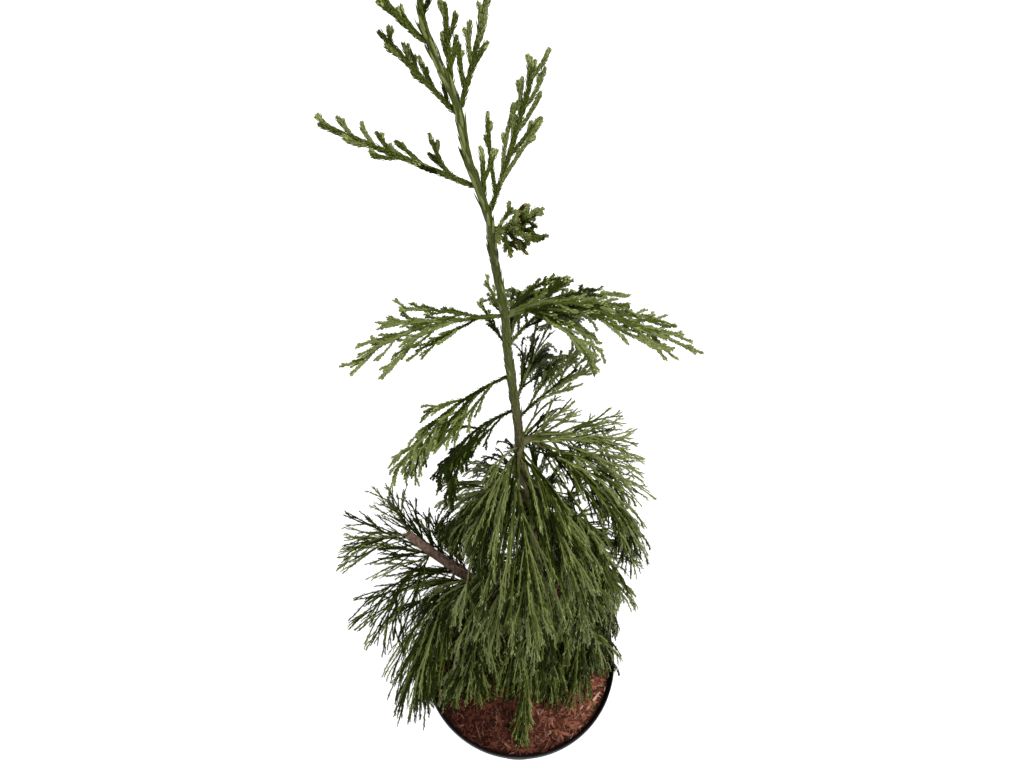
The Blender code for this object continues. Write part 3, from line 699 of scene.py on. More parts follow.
def mesh_object(name: str, points: Array, faces: Array, rounded: bool) -> bpy.types.Object:
    """Puts triangles into a new object at the origin.

    Args:
        name: the object's name.
        points: (n, 3) places.
        faces: (m, 3) indices.
        rounded: smooth shading where true.

    Returns:
        The object, linked to the scene.
    """
    mesh = bpy.data.meshes.new(name)
    count = len(faces)
    mesh.vertices.add(len(points))
    mesh.vertices.foreach_set("co", np.ascontiguousarray(points, np.float32).ravel())
    mesh.loops.add(3 * count)
    mesh.loops.foreach_set("vertex_index", np.ascontiguousarray(faces, np.int32).ravel())
    mesh.polygons.add(count)
    mesh.polygons.foreach_set("loop_start", np.arange(0, 3 * count, 3, dtype=np.int32))
    mesh.polygons.foreach_set("use_smooth", np.full(count, rounded))
    mesh.update(calc_edges=True)
    piece = bpy.data.objects.new(name, mesh)
    bpy.context.scene.collection.objects.link(piece)
    return piece


def dress(piece: bpy.types.Object, material: bpy.types.Material, nodes: list[str]) -> None:
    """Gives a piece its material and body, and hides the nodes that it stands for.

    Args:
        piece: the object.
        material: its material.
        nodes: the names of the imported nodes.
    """
    piece.data.materials.append(material)
    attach(piece, "root")
    if nodes:
        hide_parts(*nodes)
    log.info("%s: %d triangles", piece.name, len(piece.data.polygons))


def fill(node: bpy.types.Node, **values: float | tuple[float, ...]) -> bpy.types.Node:
    """Sets a node's inputs, whose names have underscores for spaces, and hands the node back."""
    for label, value in values.items():
        node.inputs[label.replace("_", " ")].default_value = value
    return node


class Weave:
    """Shader node groups that several finishes share, each made once."""

    @staticmethod
    def group(name: str, inputs: dict[str, float], outputs: tuple[str, ...]) -> Tree:
        """A new shader node group with float inputs and outputs.

        Args:
            name: the group's name.
            inputs: each input's name and first value.
            outputs: the outputs' names.

        Returns:
            The group, with its two end nodes named Inputs and Outputs.
        """
        tree = bpy.data.node_groups.new(name, "ShaderNodeTree")
        for label, value in inputs.items():
            socket = tree.interface.new_socket(label, in_out="INPUT", socket_type="NodeSocketFloat")
            socket.default_value = value
        for label in outputs:
            tree.interface.new_socket(label, in_out="OUTPUT", socket_type="NodeSocketFloat")
        tree.nodes.new("NodeGroupInput").name = "Inputs"
        tree.nodes.new("NodeGroupOutput").name = "Outputs"
        return tree

    @staticmethod
    def noise(tree: Tree, place: Socket, scale: str, label: str,
              detail: float, roughness: float) -> None:
        """Joins a noise texture to a place, to the input of its scale and to the output of its label."""
        noise = fill(tree.nodes.new("ShaderNodeTexNoise"), Detail=detail, Roughness=roughness)
        tree.links.new(place, noise.inputs["Vector"])
        tree.links.new(tree.nodes["Inputs"].outputs[scale], noise.inputs["Scale"])
        tree.links.new(noise.outputs["Fac"], tree.nodes["Outputs"].inputs[label])

    @staticmethod
    def mottle() -> Tree:
        """Patches and fine grain: coarse noise as Patch, fine noise as Grain, both from 0 to 1."""
        tree = bpy.data.node_groups.get("mottle")
        if not tree:
            tree = Weave.group("mottle", {"Patch Scale": 20.0, "Grain Scale": 400.0}, ("Patch", "Grain"))
            place = tree.nodes.new("ShaderNodeTexCoord").outputs["Object"]
            Weave.noise(tree, place, "Patch Scale", "Patch", 2.0, 0.5)
            Weave.noise(tree, place, "Grain Scale", "Grain", 3.0, 0.5)
        return tree

    @staticmethod
    def fibre() -> Tree:
        """Long upright fibres: noise that is stretched by Stretch along Z, as Fibre and fine as Thread."""
        tree = bpy.data.node_groups.get("fibre")
        if not tree:
            tree = Weave.group("fibre", {"Scale": 300.0, "Stretch": 0.12}, ("Fibre", "Thread"))
            nodes, links = tree.nodes, tree.links
            split = nodes.new("ShaderNodeSeparateXYZ")
            flatten = nodes.new("ShaderNodeMath")
            flatten.operation = "MULTIPLY"
            join = nodes.new("ShaderNodeCombineXYZ")
            links.new(nodes.new("ShaderNodeTexCoord").outputs["Object"], split.inputs["Vector"])
            links.new(split.outputs["Z"], flatten.inputs[0])
            links.new(nodes["Inputs"].outputs["Stretch"], flatten.inputs[1])
            links.new(split.outputs["X"], join.inputs["X"])
            links.new(split.outputs["Y"], join.inputs["Y"])
            links.new(flatten.outputs["Value"], join.inputs["Z"])
            Weave.noise(tree, join.outputs["Vector"], "Scale", "Fibre", 3.0, 0.55)
            Weave.noise(tree, join.outputs["Vector"], "Scale", "Thread", 6.0, 0.75)
        return tree


class Shader:
    """A Principled material that is built up step by step."""

    def __init__(self, name: str, roughness: float, specular: float = 0.5) -> None:
        """Starts the material.

        Args:
            name: the material's name.
            roughness: its even roughness.
            specular: its specular level.
        """
        self.material = bpy.data.materials.new(name)
        self.material.use_nodes = True
        self.nodes = self.material.node_tree.nodes
        self.links = self.material.node_tree.links
        self.shader = fill(self.nodes["Principled BSDF"], Roughness=roughness, Specular_IOR_Level=specular)

    def group(self, tree: Tree, **values: float) -> bpy.types.Node:
        """Places a node group with its own values."""
        node = self.nodes.new("ShaderNodeGroup")
        node.node_tree = tree
        return fill(node, **values)

    def spread(self, mask: Socket, **limits: float) -> Socket:
        """A mask that is spread between limits."""
        node = fill(self.nodes.new("ShaderNodeMapRange"), **limits)
        self.links.new(mask, node.inputs["Value"])
        return node.outputs["Result"]

    def along(self, axis: str) -> Socket:
        """The place along an axis of the object."""
        place = self.nodes.new("ShaderNodeTexCoord")
        split = self.nodes.new("ShaderNodeSeparateXYZ")
        self.links.new(place.outputs["Object"], split.inputs["Vector"])
        return split.outputs[axis]

    def blend(self, mask: Socket, first: Colour | Socket, second: Colour, low: float = 0.35,
              high: float = 0.65) -> Socket:
        """Mixes two colours by a mask that is spread between low and high.

        Args:
            mask: the socket that says where the second colour shows.
            first: a colour or the socket of one.
            second: the other colour.
            low: the mask's value where only the first shows.
            high: the mask's value where only the second shows.

        Returns:
            The mixed colour's socket.
        """
        mix = self.nodes.new("ShaderNodeMix")
        mix.data_type = "RGBA"
        self.links.new(self.spread(mask, From_Min=low, From_Max=high), mix.inputs["Factor"])
        if isinstance(first, Socket):
            self.links.new(first, mix.inputs["A"])
        else:
            mix.inputs["A"].default_value = (*first, 1.0)
        mix.inputs["B"].default_value = (*second, 1.0)
        return mix.outputs["Result"]

    def paint(self, colour: Socket) -> None:
        """Uses a socket as the base colour."""
        self.links.new(colour, self.shader.inputs["Base Color"])

    def roughen(self, mask: Socket, least: float, most: float) -> None:
        """Lets roughness run from least to most with a mask."""
        self.links.new(self.spread(mask, To_Min=least, To_Max=most), self.shader.inputs["Roughness"])

    def emboss(self, height: Socket, depth: float) -> None:
        """Adds a bump of a depth in metres."""
        bump = fill(self.nodes.new("ShaderNodeBump"), Distance=depth)
        self.links.new(height, bump.inputs["Height"])
        self.links.new(bump.outputs["Normal"], self.shader.inputs["Normal"])


@dataclass(frozen=True)
class Green:
    """The finish of leaves or young cords: a main and a second colour in soft patches."""

    name: str
    slot: str
    main: Colour
    second: Colour
    roughness: float = 0.48
    specular: float = 0.14

    def material(self) -> bpy.types.Material:
        """The finish's material, made once."""
        found = bpy.data.materials.get(self.name)
        if found:
            return found
        shader = Shader(self.name, self.roughness, self.specular)
        mottle = shader.group(Weave.mottle(), Patch_Scale=55.0, Grain_Scale=900.0)
        shader.paint(shader.blend(mottle.outputs["Patch"], self.main, self.second))
        shader.roughen(mottle.outputs["Grain"], self.roughness - 0.08, self.roughness + 0.14)
        shader.emboss(mottle.outputs["Grain"], 0.00012)
        return shader.material


@dataclass(frozen=True)
class Bark:
    """The finish of bark: fibres in two browns, greener above a height."""

    name: str
    dark: Colour
    pale: Colour
    young: Colour
    green_from: float
    green_at: float

    def material(self) -> bpy.types.Material:
        """The finish's material."""
        shader = Shader(self.name, 0.85, 0.3)
        fibre = shader.group(Weave.fibre(), Scale=420.0, Stretch=0.10)
        mottle = shader.group(Weave.mottle(), Patch_Scale=60.0, Grain_Scale=700.0)
        wood = shader.blend(fibre.outputs["Fibre"], self.dark, self.pale)
        aged = shader.blend(shader.along("Z"), wood, self.young, self.green_from, self.green_at)
        dim = tuple(0.55 * part for part in self.dark)
        shader.paint(shader.blend(mottle.outputs["Patch"], aged, dim, 0.55, 0.95))
        shader.roughen(fibre.outputs["Thread"], 0.7, 0.95)
        shader.emboss(fibre.outputs["Thread"], 0.0005)
        return shader.material


@dataclass(frozen=True)
class Chip:
    """The finish of bark mulch: two browns along the fibre of each chip, darkened towards -X by a painted
    shadow.
    """

    name: str
    dark: Colour
    pale: Colour

    def material(self) -> bpy.types.Material:
        """The finish's material."""
        shader = Shader(self.name, 0.9, 0.10)
        mottle = shader.group(Weave.mottle(), Patch_Scale=170.0, Grain_Scale=1500.0)
        unshadowed = shader.blend(mottle.outputs["Patch"], self.dark, self.pale)
        # Painted shadow of the foliage: the chips are darkened towards -X
        shadowed = tuple(part * share for part, share in zip(self.dark, SHADOW_SHARES))
        shader.paint(shader.blend(shader.along("X"), unshadowed, shadowed, *SHADOW_REACH))
        shader.roughen(mottle.outputs["Grain"], 0.8, 1.0)
        shader.emboss(mottle.outputs["Grain"], 0.0004)
        return shader.material


@dataclass(frozen=True)
class Plastic:
    """The finish of a moulded pot: satin black with a little dust and fine scuffs."""

    name: str
    colour: Colour
    dust: Colour

    def material(self) -> bpy.types.Material:
        """The finish's material."""
        shader = Shader(self.name, 0.4, 0.05)
        mottle = shader.group(Weave.mottle(), Patch_Scale=14.0, Grain_Scale=2200.0)
        scuff = shader.group(Weave.fibre(), Scale=60.0, Stretch=6.0)
        dusty = shader.blend(mottle.outputs["Patch"], self.colour, self.dust, 0.45, 0.9)
        shader.paint(shader.blend(scuff.outputs["Thread"], dusty, self.dust, 0.66, 0.9))
        shader.roughen(mottle.outputs["Patch"], 0.36, 0.66)
        shader.emboss(mottle.outputs["Grain"], 0.00006)
        return shader.material


class Tone(Enum):
    """The greens that sprays are dealt, from painted shade inside a mass, which also stands for its older
    leaves, through painted light on its outer sprays with their young growth, to the newest tips.
    """

    # Painted shade: the darkest green, for the shade inside and under a mass, and its older leaves
    DEEP = Green("green_deep", "deep_foliage", (0.010, 0.016, 0.001), (0.019, 0.028, 0.002), 0.6, 0.03)
    BODY = Green("green_body", "deep_foliage", (0.050, 0.066, 0.008), (0.073, 0.093, 0.014), 0.5, 0.06)
    # Partly painted light: the pale green of sprays on the lit outer and upper side of a mass, and of young
    # growth
    FRESH = Green("green_fresh", "fresh_foliage", (0.118, 0.143, 0.034), (0.162, 0.192, 0.058))
    TIP = Green("green_tip", "fresh_foliage", (0.225, 0.264, 0.075), (0.290, 0.330, 0.115))
    BRONZE = Green("green_bronze", "fresh_foliage", (0.230, 0.185, 0.050), (0.300, 0.220, 0.085))
    TWIG = Green("young_bark", "deep_foliage", (0.105, 0.088, 0.034), (0.080, 0.086, 0.026), 0.7)


@dataclass
class Skeleton:
    """The trunk, boughs and stems that all foliage grows from and keeps clear of."""

    limbs: dict[str, tuple[Array, Array]] = field(default_factory=dict)
    stems: dict[str, Array] = field(default_factory=dict)
    plumes: list[Plume] = field(default_factory=list)

    def build(self) -> None:
        """Lays the trunk, the boughs and then every stem."""
        course = catmull_rom(np.array(TRUNK_COURSE), 24)
        flare = ROOT_FLARE * np.exp(-(course[:, 0] - MULCH_TOP) / ROOT_FLARE_HEIGHT)
        points = np.stack([course[:, 1], np.zeros(len(course)), course[:, 0]], axis=1)
        self.limbs["trunk"] = (points, course[:, 2] + flare)
        for limb in LIMBS:
            self.add_limb(limb)
        self.plumes = [*PLUMES, *self.skirt()]
        for plume in self.plumes:
            self.stems[plume.name] = self.stem(plume)
        samples, radii = [], []
        for points, thick in self.limbs.values():
            line = resample(points)
            samples.append(line)
            radii.append(np.interp(np.linspace(0, 1, len(line)), np.linspace(0, 1, len(thick)), thick))
        bare = np.stack([self.on_limb(WOODY, share)[0] for share in np.linspace(*BARE_RUN, BARE_STEPS)])
        over = np.arange(0.0, CLEAR_DEPTH, CLEAR_RADIUS)[:, None, None] * np.array(CLEAR_WAY)
        self.clearing = (bare + over).reshape(-1, 3)
        self.limb_samples = np.vstack(samples)
        self.limb_radii = np.concatenate(radii)

    def add_limb(self, limb: Limb) -> None:
        """Lays a bough from the trunk's axis at its height."""
        start = self.on_trunk(limb.height)[0]
        points = drooping_path(start, limb.azimuth, limb.length, limb.rise, limb.fall, LIMB_POINTS)
        self.limbs[limb.name] = (points, np.linspace(1.0, LIMB_TIP_SHARE, LIMB_POINTS) * limb.radius)

    def on_trunk(self, height: float) -> tuple[Array, Array, float]:
        """The trunk's axis point, way and radius at a height."""
        points = self.limbs["trunk"][0]
        share = np.interp(height, points[:, 2], np.linspace(0, 1, len(points)))
        return self.on_limb("trunk", float(share))

    def on_limb(self, name: str, share: float) -> tuple[Array, Array, float]:
        """The axis point, way and radius at a share of a limb."""
        points, radii = self.limbs[name]
        ways = np.gradient(points, axis=0)
        picks = (np.array([0]), np.array([share]))
        return (
            along_paths(points[None], *picks)[0],
            unit(along_paths(ways[None], *picks)[0]),
            float(along_paths(radii[None], *picks)[0]),
        )

    def stem(self, plume: Plume) -> Array:
        """The axis of a plume's stem, from inside what carries it to its tip."""
        points = GROWTH[plume.habit].stem_points
        if plume.carrier == "trunk" and plume.at < 1.0:
            place, axis, radius = self.on_trunk(plume.at)
        else:
            place, axis, radius = self.on_limb(plume.carrier, plume.at)
        course = (plume.azimuth, plume.length, plume.rise, plume.fall, points)
        if plume.at == 1.0:
            return drooping_path(place, *course)
        way = heading(plume.azimuth, plume.rise)
        sine = math.sqrt(max(1.0 - float(way @ axis) ** 2, LEAST_SINE_SQUARED))
        return drooping_path(place + way * (SEAT * radius / sine), *course)

    def bare_run(self, plume: Plume) -> Array:
        """The limb's axis before a mass: a bough's last run to it, or the trunk down from it."""
        if plume.carrier == "trunk":
            heights = np.linspace(plume.at, plume.at - COLLAR_RUN, COLLAR_POINTS)
            return np.stack([self.on_trunk(height)[0] for height in heights])
        length = resample(self.limbs[plume.carrier][0]).shape[0] * SAMPLE_STEP
        shares = np.linspace(max(0.0, plume.at - COLLAR_RUN / length), plume.at, COLLAR_POINTS)
        return np.stack([self.on_limb(plume.carrier, share)[0] for share in shares])

    def skirt(self) -> list[Plume]:
        """Adds the boughs of the weeping skirt, and lists the plumes that hang there."""
        plumes: list[Plume] = []
        for ring in RINGS:
            first = len(plumes)
            for index, azimuth in enumerate(ring.azimuths):
                name = f"bough_{ring.name}_{index + 1}"
                height = ring.height + RING_STAGGER * math.sin(GOLDEN_ANGLE * index)
                length = ring.bough_share * self.hem_radius(azimuth)
                self.add_limb(Limb(name, height, azimuth, length, RING_RISE, RING_FALL, RING_RADIUS))
                for side, at in ((-1, RING_FIRST_PLUME), (1, 1.0)):
                    toward = azimuth + side * RING_SPREAD / 2
                    label = f"skirt_{ring.name}_{len(plumes) + 1 - first}"
                    start = self.on_limb(name, at)[0]
                    radius = ring.hem_share * self.hem_radius(toward)
                    hem = ring.hem_height + HEM_STAGGER * side
                    course = (start, toward, radius, hem, ring.reach)
                    plumes.append(self.hanging(label, name, at, *course))
        for index, (azimuth, share) in enumerate(FEET):
            height = FOOT_HEIGHT + RING_STAGGER * math.sin(GOLDEN_ANGLE * index)
            start = self.on_trunk(height)[0]
            radius = share * self.hem_radius(azimuth)
            label = f"skirt_foot_{index + 1}"
            course = (start, azimuth, radius, HEM_HEIGHT, FOOT_REACH)
            plumes.append(self.hanging(label, "trunk", height, *course))
        start = self.on_trunk(TASSEL_HEIGHT)[0]
        course = (TASSEL_AZIMUTH, TASSEL_RADIUS, TASSEL_HEM, TASSEL_REACH)
        plumes.append(self.hanging("skirt_tassel", "trunk", TASSEL_HEIGHT, start, *course, TASSEL_LIGHT))
        return plumes

    @staticmethod
    def hem_radius(azimuth: float) -> float:
        """How far the skirt's hem is from the pot's axis: cut back in front, spread on the left."""
        turn = math.radians(azimuth)
        front = max(0.0, -math.sin(turn))
        left = max(0.0, -math.cos(turn))
        return SKIRT_REACH - SKIRT_FRONT_CUT * front**1.5 + SKIRT_LEFT_SPREAD * left**2

    @staticmethod
    def hanging(name: str, carrier: str, at: float, start: Array, azimuth: float, radius: float,
                height: float, reach: float, light: float = SKIRT_LIGHT) -> Plume:
        """A plume whose stem ends plumb at a radius from the pot's axis and a height.

        Args:
            name: its name.
            carrier: the limb that carries it.
            at: its place there.
            start: where its stem starts.
            azimuth: the way its tip lies from the pot's axis, in degrees.
            radius: how far its tip is from that axis.
            height: how high its tip is.
            reach: how far its twigs stand from the stem.
            light: how much lighter its sprays are dealt, below zero as painted shade.

        Returns:
            The plume. A chord c and a half bend h give the arc length c h / sin h.
        """
        run = heading(azimuth, 0.0) * radius + UP * height - start
        slope = math.degrees(math.atan2(run[2], math.hypot(run[0], run[1])))
        half = max(slope - HANG_FALL, LEAST_BEND)
        length = float(np.linalg.norm(run)) * math.radians(half) / math.sin(math.radians(half))
        toward = math.degrees(math.atan2(run[1], run[0]))
        course = (toward, length, slope + half, slope - half, reach, SKIRT_THICKNESS, SKIRT_WEEP)
        return Plume(name, carrier, at, *course, Habit.CURTAIN, light)

    def fits(self, paths: Array, radius: float, plume: Plume) -> Array:
        """Which cords keep within reach of their stem and clear of limbs, pot, mulch and ground.

        The space over the woody bough's bare run stays free of the foliage of other limbs.

        Args:
            paths: (cords, points, 3) places. The first two points may be inside the bark.
            radius: the cords' radius.
            plume: the mass that they belong to.

        Returns:
            True for each cord that fits.
        """
        points = paths[:, 1:].reshape(-1, 3)
        across = np.hypot(points[:, 0], points[:, 1])
        low = points[:, 2] < POT_HEIGHT + GROUND_CLEARANCE
        outside = across > POT_RIM_RADIUS + GROUND_CLEARANCE
        inside = across < POT_NECK_RADIUS - GROUND_CLEARANCE - POT_WALL
        over_mulch = points[:, 2] > MULCH_TOP + GROUND_CLEARANCE + radius
        good = ~low | outside | (inside & over_mulch)
        good &= (points[:, 2] > GROUND_CLEARANCE + radius) & (points[:, 0] > CAD_BOX[0][0] - SIDE_ROOM)
        apart = np.linalg.norm(points[:, None] - self.limb_samples[None], axis=2)
        gaps = (apart - self.limb_radii).min(axis=1)
        first = np.tile(np.arange(1, paths.shape[1]) == 1, len(paths))
        good &= gaps > np.where(first, -ROOT_DEPTH * radius, radius + TWIG_CLEARANCE)
        clearing = self.clearing[OWN_CLEARING if plume.carrier == WOODY else 0 :]
        good &= np.linalg.norm(points[:, None] - clearing, axis=2).min(axis=1) > CLEAR_RADIUS
        stem = resample(self.stems[plume.name])
        reach = plume.reach * GROWTH[plume.habit].reach
        good &= np.linalg.norm(points[:, None] - stem[None], axis=2).min(axis=1) < reach
        return good.reshape(len(paths), paths.shape[1] - 1).all(axis=1)


@dataclass
class Cords:
    """Cords of one order of one mass, all with the same number of points."""

    plume: Plume
    order: int
    paths: Array
    radii: Array
    glow: Array

    def with_more(self, other: "Cords") -> "Cords":
        """These cords and some more of the same order."""
        return Cords(
            self.plume,
            self.order,
            np.concatenate([self.paths, other.paths]),
            np.concatenate([self.radii, other.radii]),
            np.concatenate([self.glow, other.glow]),
        )

    def woody(self) -> bool:
        """Whether these are the brown stems of a fine-twigged mass."""
        return self.order == 0 and self.plume.habit in (SPRAY, CURTAIN)


class Grower:
    """Grows the cords of a mass, order by order, from a generator seeded with its name."""

    def __init__(self, skeleton: Skeleton, plume: Plume) -> None:
        """Remembers the mass and seeds its generator."""
        self.skeleton = skeleton
        self.plume = plume
        self.growth = GROWTH[plume.habit]
        self.chance = np.random.default_rng(zlib.crc32(plume.name.encode()))

    def grow(self) -> list[Cords]:
        """The stem and every order of cords on it."""
        plume = self.plume
        stem = self.skeleton.stems[plume.name][None]
        share = np.linspace(0.0, 1.0, stem.shape[1])
        swell = 1.0 - STEM_TAPER * share + STEM_CLUB * self.growth.club * self.club(share)
        radii = self.growth.stout * plume.thickness * swell
        bundles = [Cords(plume, 0, stem, radii[None], np.array([STEM_GLOW]))]
        for level, order in enumerate(self.growth.orders):
            bundles.append(self.side_cords(bundles[-1], order, level + 1))
            if level == 0 and (plume.carrier != "trunk" or plume.habit is CURTAIN):
                bundles[-1] = bundles[-1].with_more(self.collar(order))
        return bundles

    def collar(self, order: Order) -> Cords:
        """First cords on the limb's bare run before the stem, which hang down from it.

        Args:
            order: how the first side cords stand.

        Returns:
            The cords that fit.
        """
        run = self.skeleton.bare_run(self.plume)
        radii = np.full((1, len(run)), self.plume.thickness)
        base = Cords(self.plume, 0, run[None], radii, np.array([COLLAR_GLOW]))
        wider = FLAT_COLLAR if self.growth.flat else WOODY_COLLAR if self.plume.carrier == WOODY else 1.0
        dense = replace(order, spacing=COLLAR_SPACING * wider, first=0.0, last=1.0, swing=COLLAR_SWING)
        return self.side_cords(base, dense, 1)

    def side_cords(self, carriers: Cords, order: Order, level: int) -> Cords:
        """Cords that stand along their carriers, by the source's rule.

        A cord's way turns from swing to swing (1 - closing) off its carrier's own way, and leans
        towards plumb by weep times the share of its length. Its points are the running sum.

        Args:
            carriers: the cords that carry them.
            order: how they stand.
            level: their order's number.

        Returns:
            The cords that fit.
        """
        plume, chance = self.plume, self.chance
        run = order.last - order.first
        count = np.maximum((path_lengths(carriers.paths) * run / order.spacing).astype(int), 1)
        which, number, many = dealt_out(count)
        jitter = chance.uniform(*PLACE_SPREAD, len(which))
        share = order.first + run * (number + 0.5 + jitter) / many
        ways, normals, sides = path_frames(carriers.paths)
        origin = along_paths(carriers.paths, which, share)
        way = unit(along_paths(ways, which, share))
        level_side = np.cross(UP, way)
        plumb = np.linalg.norm(level_side, axis=1, keepdims=True) < PLUMB
        side = unit(np.where(plumb, along_paths(normals, which, share), level_side))
        if self.growth.flat:
            side *= np.where(side[:, 1:2] < 0.0, -1.0, 1.0) * (-1.0 if plume.hangs else 1.0)
            lower = MOSTLY_ONE_SIDE if plume.hangs else self.growth.lower
            shaded = number % lower == lower - 1
            around = np.pi * shaded + np.radians(chance.uniform(*FLAT_SWAY, len(which)))
        else:
            around = GOLDEN_ANGLE * number + chance.uniform(*ANY_TURN, len(count))[which]
        side = side * np.cos(around)[:, None] + np.cross(way, side) * np.sin(around)[:, None]
        swing = np.radians(chance.uniform(*order.swing, len(which)))
        length = plume.reach * (order.length - order.shortening * share)
        length *= chance.uniform(*LENGTH_SPREAD, len(which))
        paths = np.zeros((len(which), order.points, 3))
        left = np.arange(len(which))
        radius = plume.thickness * order.thickness
        for _ in range(TRIES):
            trial = self.trail(origin[left], way[left], side[left], swing[left], length[left], order.points)
            good = self.skeleton.fits(trial, CLEAR_SHARE * radius, plume)
            paths[left[good]] = trial[good]
            left = left[~good]
            length[left] *= SHORTER_TRY
            swing[left] *= CLOSER_TRY
        kept = np.setdiff1d(np.arange(len(which)), left)
        along = np.linspace(0.0, 1.0, order.points)
        swell = 1.0 - self.growth.taper * along + self.growth.club * self.club(along)
        radii = radius * swell * chance.uniform(*THICKNESS_SPREAD, (len(kept), 1))
        # Finer cords and those further out on their carrier are dealt lighter, for younger growth and as
        # painted light
        glow = carriers.glow[which[kept]] + ORDER_GLOW + TIP_GLOW * share[kept]
        glow += chance.normal(0.0, self.growth.contrast, len(kept))
        return Cords(plume, level, paths[kept], radii, glow)

    @staticmethod
    def club(share: Array) -> Array:
        """The swelling near a cord's tip: up to 1 at CLUB_COURSE's middle, and back to 0 at its end."""
        start, peak, end = CLUB_COURSE
        return smooth(share, start, peak) - smooth(share, peak, end)

    def trail(self, origin: Array, way: Array, side: Array, swing: Array, length: Array,
              points: int) -> Array:
        """The paths of side cords.

        Args:
            origin: their roots.
            way: their carriers' ways there.
            side: the way that each leans to, at right angles to its carrier.
            swing: the angle off the carrier, in radians.
            length: their lengths.
            points: points on each.

        Returns:
            (cords, points, 3) places.
        """
        share = ((np.arange(points - 1) + 0.5) / (points - 1))[None, :, None]
        turn = swing[:, None, None] * (1.0 - TWIG_CLOSING * share)
        ways = way[:, None] * np.cos(turn) + side[:, None] * np.sin(turn)
        lean = (self.growth.weep * self.plume.weep - self.growth.rise) * share
        ways = unit(ways * (1.0 - np.abs(lean)) - UP * lean)
        ways = unit(ways + np.cumsum(self.chance.normal(0.0, self.growth.wander, ways.shape), axis=1))
        steps = np.cumsum(ways * (length / (points - 1))[:, None, None], axis=1)
        return np.concatenate([origin[:, None], origin[:, None] + steps], axis=1)


class Template:
    """The small meshes that are repeated: their points and triangles.

    A leaf's points are shares of its length along, of its width across, and of its keel outwards.
    """

    LEAVES = {
        LeafForm.AWL: (
            np.array([(0.0, -0.5, 0.0), (0.0, 0.5, 0.0), (0.30, 0.0, 1.0), (1.0, 0.0, 0.3)]),
            np.array([(0, 1, 3), (0, 2, 1), (0, 3, 2), (1, 2, 3)]),
        ),
        LeafForm.KEEL: (
            np.array(
                [(0.0, 0.0, -0.3), (0.36, -0.5, 0.0), (0.36, 0.5, 0.0), (0.42, 0.0, 1.0), (1.0, 0.0, 0.2)]
            ),
            np.array([(0, 1, 3), (0, 3, 2), (1, 4, 3), (3, 4, 2), (0, 2, 1), (1, 2, 4)]),
        ),
        LeafForm.BOAT: (
            np.array(
                [
                    (0.0, 0.0, -0.5), (0.28, -0.46, -0.1), (0.28, 0.46, -0.1), (0.26, 0.0, 0.8),
                    (0.66, -0.36, 0.0), (0.66, 0.36, 0.0), (0.64, 0.0, 1.0), (1.0, 0.0, 0.1),
                ]
            ),
            np.array(
                [
                    (0, 1, 3), (0, 3, 2), (1, 6, 3), (1, 4, 6), (3, 5, 2), (3, 6, 5),
                    (4, 7, 6), (6, 7, 5), (0, 2, 1), (1, 5, 4), (1, 2, 5), (4, 5, 7),
                ]
            ),
        ),
    }

    @staticmethod
    def repeat(template: Mesh, place: Array, axes: Array, sizes: Array) -> Mesh:
        """Copies of a template: place + sum of size times share along each axis.

        Args:
            template: its points and faces.
            place: (copies, 3) roots.
            axes: (copies, 3, 3), the ways of along, across and out as rows.
            sizes: (copies, 3), the sizes along them.

        Returns:
            The points and faces of all copies.
        """
        points, faces = template
        scaled = points[None] * sizes[:, None]
        spread = np.einsum("nms,nsk->nmk", scaled, axes) + place[:, None]
        shift = np.arange(len(place))[:, None, None] * len(points)
        return spread.reshape(-1, 3), (faces[None] + shift).reshape(-1, 3)


